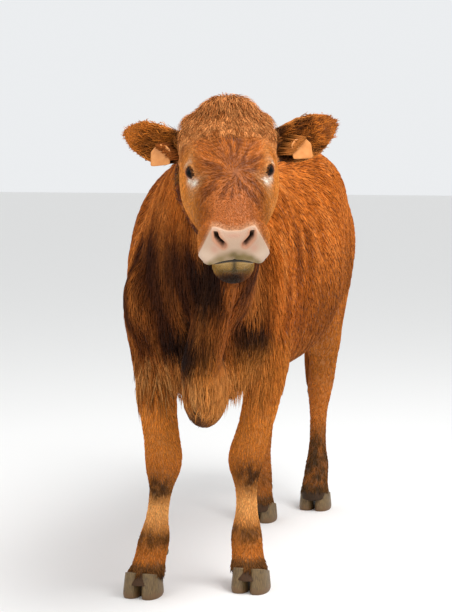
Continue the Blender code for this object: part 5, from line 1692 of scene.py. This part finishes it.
def cow_skin():
    """Skin under short flat hair, and the bare, damp pad of the muzzle: hair is drawn as streaks 3 mm apart,
    the pad as pebbles about 2.2 mm across with shallow creases."""
    made, tree, shader, place = finish("cow_skin", Specular_IOR_Level=0.30)
    bare = add(tree, "ShaderNodeAttribute", attribute_name="Bare", attribute_type="GEOMETRY").outputs["Fac"]
    along = add(tree, "ShaderNodeMapping", {"Vector": place, "Scale": (330.0, 330.0, 60.0)}).outputs["Vector"]
    hairs = add(tree, "ShaderNodeTexNoise", {"Vector": along, "Scale": 1.0, "Detail": 3.0}).outputs["Fac"]
    pebbles = add(tree, "ShaderNodeTexVoronoi", {"Vector": place, "Scale": 450.0, "Smoothness": 0.6},
                  feature="SMOOTH_F1").outputs["Distance"]
    creases = add(tree, "ShaderNodeTexNoise", {"Vector": place, "Scale": 130.0, "Detail": 3.0}).outputs["Fac"]
    heap = add(tree, "ShaderNodeMath", {0: creases, 1: pebbles}, operation="SUBTRACT").outputs["Value"]
    height = add(tree, "ShaderNodeMix", {"Factor": bare, "A": hairs, "B": heap}, data_type="FLOAT")
    bump = add(tree, "ShaderNodeBump", {
        "Height": height.outputs["Result"], "Strength": 0.55, "Distance": 0.0012})
    wet = add(tree, "ShaderNodeMapRange", {"Value": bare, "To Min": 0.68, "To Max": 0.42})
    # Painted shade: the haired skin is darkened along its hair streaks, as the shade between the locks; the
    # bare pad keeps its colour.
    shade = add(tree, "ShaderNodeMapRange", {
        "Value": hairs, "From Min": 0.3, "From Max": 0.7, "To Min": 0.58, "To Max": 0.95})
    plain = add(tree, "ShaderNodeMix", {"Factor": bare, "A": shade.outputs["Result"], "B": 1.0},
                data_type="FLOAT")
    feed(tree, shader, Base_Color=shaded_markings(tree, plain.outputs["Result"]),
         Roughness=wet.outputs["Result"], Normal=bump.outputs["Normal"])
    return made


def eye_surface():
    """The wet cornea over a dark brown iris: sharp, clear gloss."""
    made, tree, shader, place = finish("wet_eye", Roughness=0.10, IOR=1.33, Specular_IOR_Level=0.16)
    streaks = add(tree, "ShaderNodeTexNoise", {"Vector": place, "Scale": 700.0, "Detail": 2.0})
    shade = add(tree, "ShaderNodeMapRange", {"Value": streaks.outputs["Fac"], "To Min": 0.8, "To Max": 1.2})
    feed(tree, shader, Base_Color=shaded_markings(tree, shade.outputs["Result"]))
    return made


def hoof_horn():
    """Cattle horn of a claw: grey-brown keratin with fine upright streaks, growth rings about 4 mm apart and
    dried soil towards the floor."""
    made, tree, shader, place = finish("hoof_horn", Roughness=0.55)
    height = add(tree, "ShaderNodeSeparateXYZ", {"Vector": place}).outputs["Z"]
    upright = add(tree, "ShaderNodeMapping", {"Vector": place, "Scale": (420.0, 420.0, 40.0)})
    streak = add(tree, "ShaderNodeTexNoise", {
        "Vector": upright.outputs["Vector"], "Scale": 1.0, "Detail": 3.0}).outputs["Fac"]
    level = add(tree, "ShaderNodeMapping", {"Vector": place, "Scale": (18.0, 18.0, 260.0)})
    rings = add(tree, "ShaderNodeTexNoise", {
        "Vector": level.outputs["Vector"], "Scale": 1.0, "Detail": 2.0}).outputs["Fac"]
    ramp = add(tree, "ShaderNodeValToRGB", {"Fac": streak})
    for end, position, code in zip(ramp.color_ramp.elements, (0.32, 0.70), ("#4C3A22", "#80663E")):
        end.position = position
        end.color = (*tint(code), 1.0)
    clods = add(tree, "ShaderNodeTexNoise", {"Vector": place, "Scale": 90.0, "Detail": 4.0}).outputs["Fac"]
    low = add(tree, "ShaderNodeMapRange", {
        "Value": height, "From Min": 0.030, "From Max": 0.002, "To Min": -0.15, "To Max": 0.45})
    soil = add(tree, "ShaderNodeMath", {0: clods, 1: low.outputs["Result"]}, operation="ADD").outputs["Value"]
    share = add(tree, "ShaderNodeMapRange", {"Value": soil, "From Min": 0.55, "From Max": 0.80})
    soiled = {"Factor": share.outputs["Result"], "A": ramp.outputs["Color"], "B": (*tint("#6B4E2E"), 1.0)}
    total = add(tree, "ShaderNodeMath", {0: rings, 1: streak}, operation="ADD").outputs["Value"]
    bump = add(tree, "ShaderNodeBump", {"Height": total, "Strength": 0.5, "Distance": 0.0010})
    feed(tree, shader, Base_Color=add(tree, "ShaderNodeMix", soiled, data_type="RGBA").outputs["Result"],
         Normal=bump.outputs["Normal"])
    return made


def tag_plastic():
    """Soft moulded polyurethane, orange, matt from its mould, a little faded and scuffed."""
    made, tree, shader, place = finish("moulded_tag_plastic", Roughness=0.48)
    cloud = add(tree, "ShaderNodeTexNoise", {"Vector": place, "Scale": 60.0, "Detail": 4.0})
    ramp = add(tree, "ShaderNodeValToRGB", {"Fac": cloud.outputs["Fac"]})
    for end, position, code in zip(ramp.color_ramp.elements, (0.30, 0.72), ("#C67A34", "#D68E48")):
        end.position = position
        end.color = (*tint(code), 1.0)
    grain = add(tree, "ShaderNodeTexNoise", {"Vector": place, "Scale": 1600.0, "Detail": 2.0})
    bump = add(tree, "ShaderNodeBump", {"Height": grain.outputs["Fac"], "Strength": 0.25, "Distance": 0.0003})
    feed(tree, shader, Base_Color=ramp.outputs["Color"], Normal=bump.outputs["Normal"])
    return made


def floor_finish():
    return finish("pale_floor", Roughness=0.85, Base_Color=(*tint("#EDECEA"), 1.0))[0]


# ---- Assembly ----
def home_of():
    """From the cow's own place to the CAD's, which has its box's middle over the origin."""
    low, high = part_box("claw_fore_left_a")
    x = high.x - (FORE_LEFT.x - CLAW_SPLIT)
    y = low.y - (FORE_LEFT.y - 0.056)
    return Matrix.Translation((x, y, 0.0))


HOME = home_of()
SIDES = ((1, "left"), (-1, "right"))
FLESH = ("head", "neck", "trunk", "tail", "foreleg_left", "foreleg_right",
         "hindleg_left", "hindleg_right", "ear_left", "ear_right")
FEET = (
    (FORE_LEFT, "fore_left"), (FORE_RIGHT, "fore_right"),
    (HIND_LEFT, "hind_left"), (HIND_RIGHT, "hind_right"),
)


def show(name, mesh, material, replaced=()):
    """Add a piece in the CAD's place, riding on the body and standing for its nodes."""
    mesh.transform(HOME)
    mesh.materials.clear()
    mesh.materials.append(material)
    obj = add_object(name, mesh)
    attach(obj, "root")
    if replaced:
        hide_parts(*replaced)


def shaped_skin():
    """The skin, sunk to the coat's roots, with its face sculpted, its markings and its map."""
    skin = one_skin()
    for level in (1, 2):
        finer(skin, near_details(skin.data, level))
    mesh = skin.data
    p, n = places(mesh), normals(mesh)
    code = region_of(p)
    head = code == HEAD_R
    p = p - n * coat_depth(p, to_head(p), code)[:, None]
    p[head] = from_head(sculpt_face(to_head(p[head]), n[head] @ np.linalg.inv(HEAD_TURN).T))
    move_to(mesh, p)
    q = to_head(p)
    paint(mesh, markings_and_painted_light(p, code).clip(0.002, 1))
    bare = np.maximum(pad_share(q), 0.7 * lip_share(q)) * head
    mesh.attributes.new("Bare", "FLOAT", "POINT").data.foreach_set("value", bare.astype(np.float32))
    skin_map(mesh)
    return skin, p


def dress():
    hair, skin_finish = cow_hair(), cow_skin()
    skin, p = shaped_skin()
    mesh = skin.data
    faces = triangles(mesh)
    middle = p[faces].mean(axis=1)
    cow = {"skin": skin, "faces": faces, "p": p, "n": normals(mesh),
           "middle": middle, "code": region_of(middle), "q": to_head(middle)}
    locks = [*body_coat(cow), *head_coat(cow), *leg_coat(cow), ("coat_lashes", lashes())]
    locks += [(f"coat_tag_hair_{word}", tag_hair(side)) for side, word in SIDES]
    bpy.data.objects.remove(skin, do_unlink=True)
    show("skin", mesh, skin_finish, FLESH)
    for name, lock in locks:
        show(name, lock, hair)
    wet, horn, plastic = eye_surface(), hoof_horn(), tag_plastic()
    for side, word in SIDES:
        show(f"eyeball_{word}", eyeball(side), wet, (f"eye_{word}",))
        show(f"ear_flag_{word}", tag_surface(side), plastic, (f"tag_{word}",))
        show(f"ear_stud_{word}", button_surface(side), plastic, (f"tag_button_{word}",))
    for foot, word in FEET:
        for side, letter in ((-1, "a"), (1, "b")):
            show(f"hoof_{word}_{letter}", claw_surface(foot, side), horn, (f"claw_{word}_{letter}",))
    for name, place in dewclaw_places():
        show(name.replace("dewclaw", "spur"), dewclaw_surface(place), horn, (name,))


# Lamps. Columns: name, place, side of the square, power
LAMPS = (
    ("overhead", (1.9, -1.0, 4.4), 2.6, 185.0),
    ("front", (-2.0, -4.6, 2.8), 2.6, 45.0),
)
LIT_PLACE = Vector((0.0, -0.1, 0.8))


def stage_and_light():
    """A plain pale floor, a large soft light above, a weaker one in front, and a pale surround."""
    span = 40.0
    corners = [(-span, -span, 0), (span, -span, 0), (span, span, 0), (-span, span, 0)]
    floor = add_object("floor", mesh_of("floor", corners, [[0, 1, 2, 3]]))
    floor.data.materials.append(floor_finish())
    world = bpy.data.worlds.new("pale_surround")
    bpy.context.scene.world = world
    world.use_nodes = True
    background = world.node_tree.nodes["Background"]
    background.inputs["Color"].default_value = (*tint("#F1F3F5"), 1.0)
    background.inputs["Strength"].default_value = 0.95
    for name, place, size, power in LAMPS:
        light = bpy.data.lights.new(name, "AREA")
        light.shape = "SQUARE"
        light.size = size
        light.energy = power
        lamp = bpy.data.objects.new(name, light)
        bpy.context.scene.collection.objects.link(lamp)
        lamp.location = place
        lamp.rotation_euler = (LIT_PLACE - Vector(place)).to_track_quat("-Z", "Y").to_euler()


# The camera, in the cow's own place: as high as the withers, some 4 m ahead of the head and to its left
CAMERA_PLACE = (1.375, -4.815, 1.27)
CAMERA_TURN = math.radians(16.7)  # from the cow's length, to the cow's right
CAMERA_DROP = math.radians(5.5687)  # below level
FOCAL_LENGTH = 94.118  # in millimetres, on a sensor 36 mm wide
SENSOR_WIDTH = 36.0


def camera():
    level = math.cos(CAMERA_DROP)
    way = Vector((-math.sin(CAMERA_TURN) * level, math.cos(CAMERA_TURN) * level, -math.sin(CAMERA_DROP)))
    lens = bpy.data.cameras.new("view")
    lens.lens = FOCAL_LENGTH
    lens.sensor_width = SENSOR_WIDTH
    lens.clip_end = 200.0
    eye = bpy.data.objects.new("view", lens)
    bpy.context.scene.collection.objects.link(eye)
    eye.location = HOME @ Vector(CAMERA_PLACE)
    eye.rotation_euler = way.to_track_quat("-Z", "Y").to_euler()
    bpy.context.scene.camera = eye
    bpy.context.scene.view_settings.view_transform = "Standard"


dress()
stage_and_light()
camera()
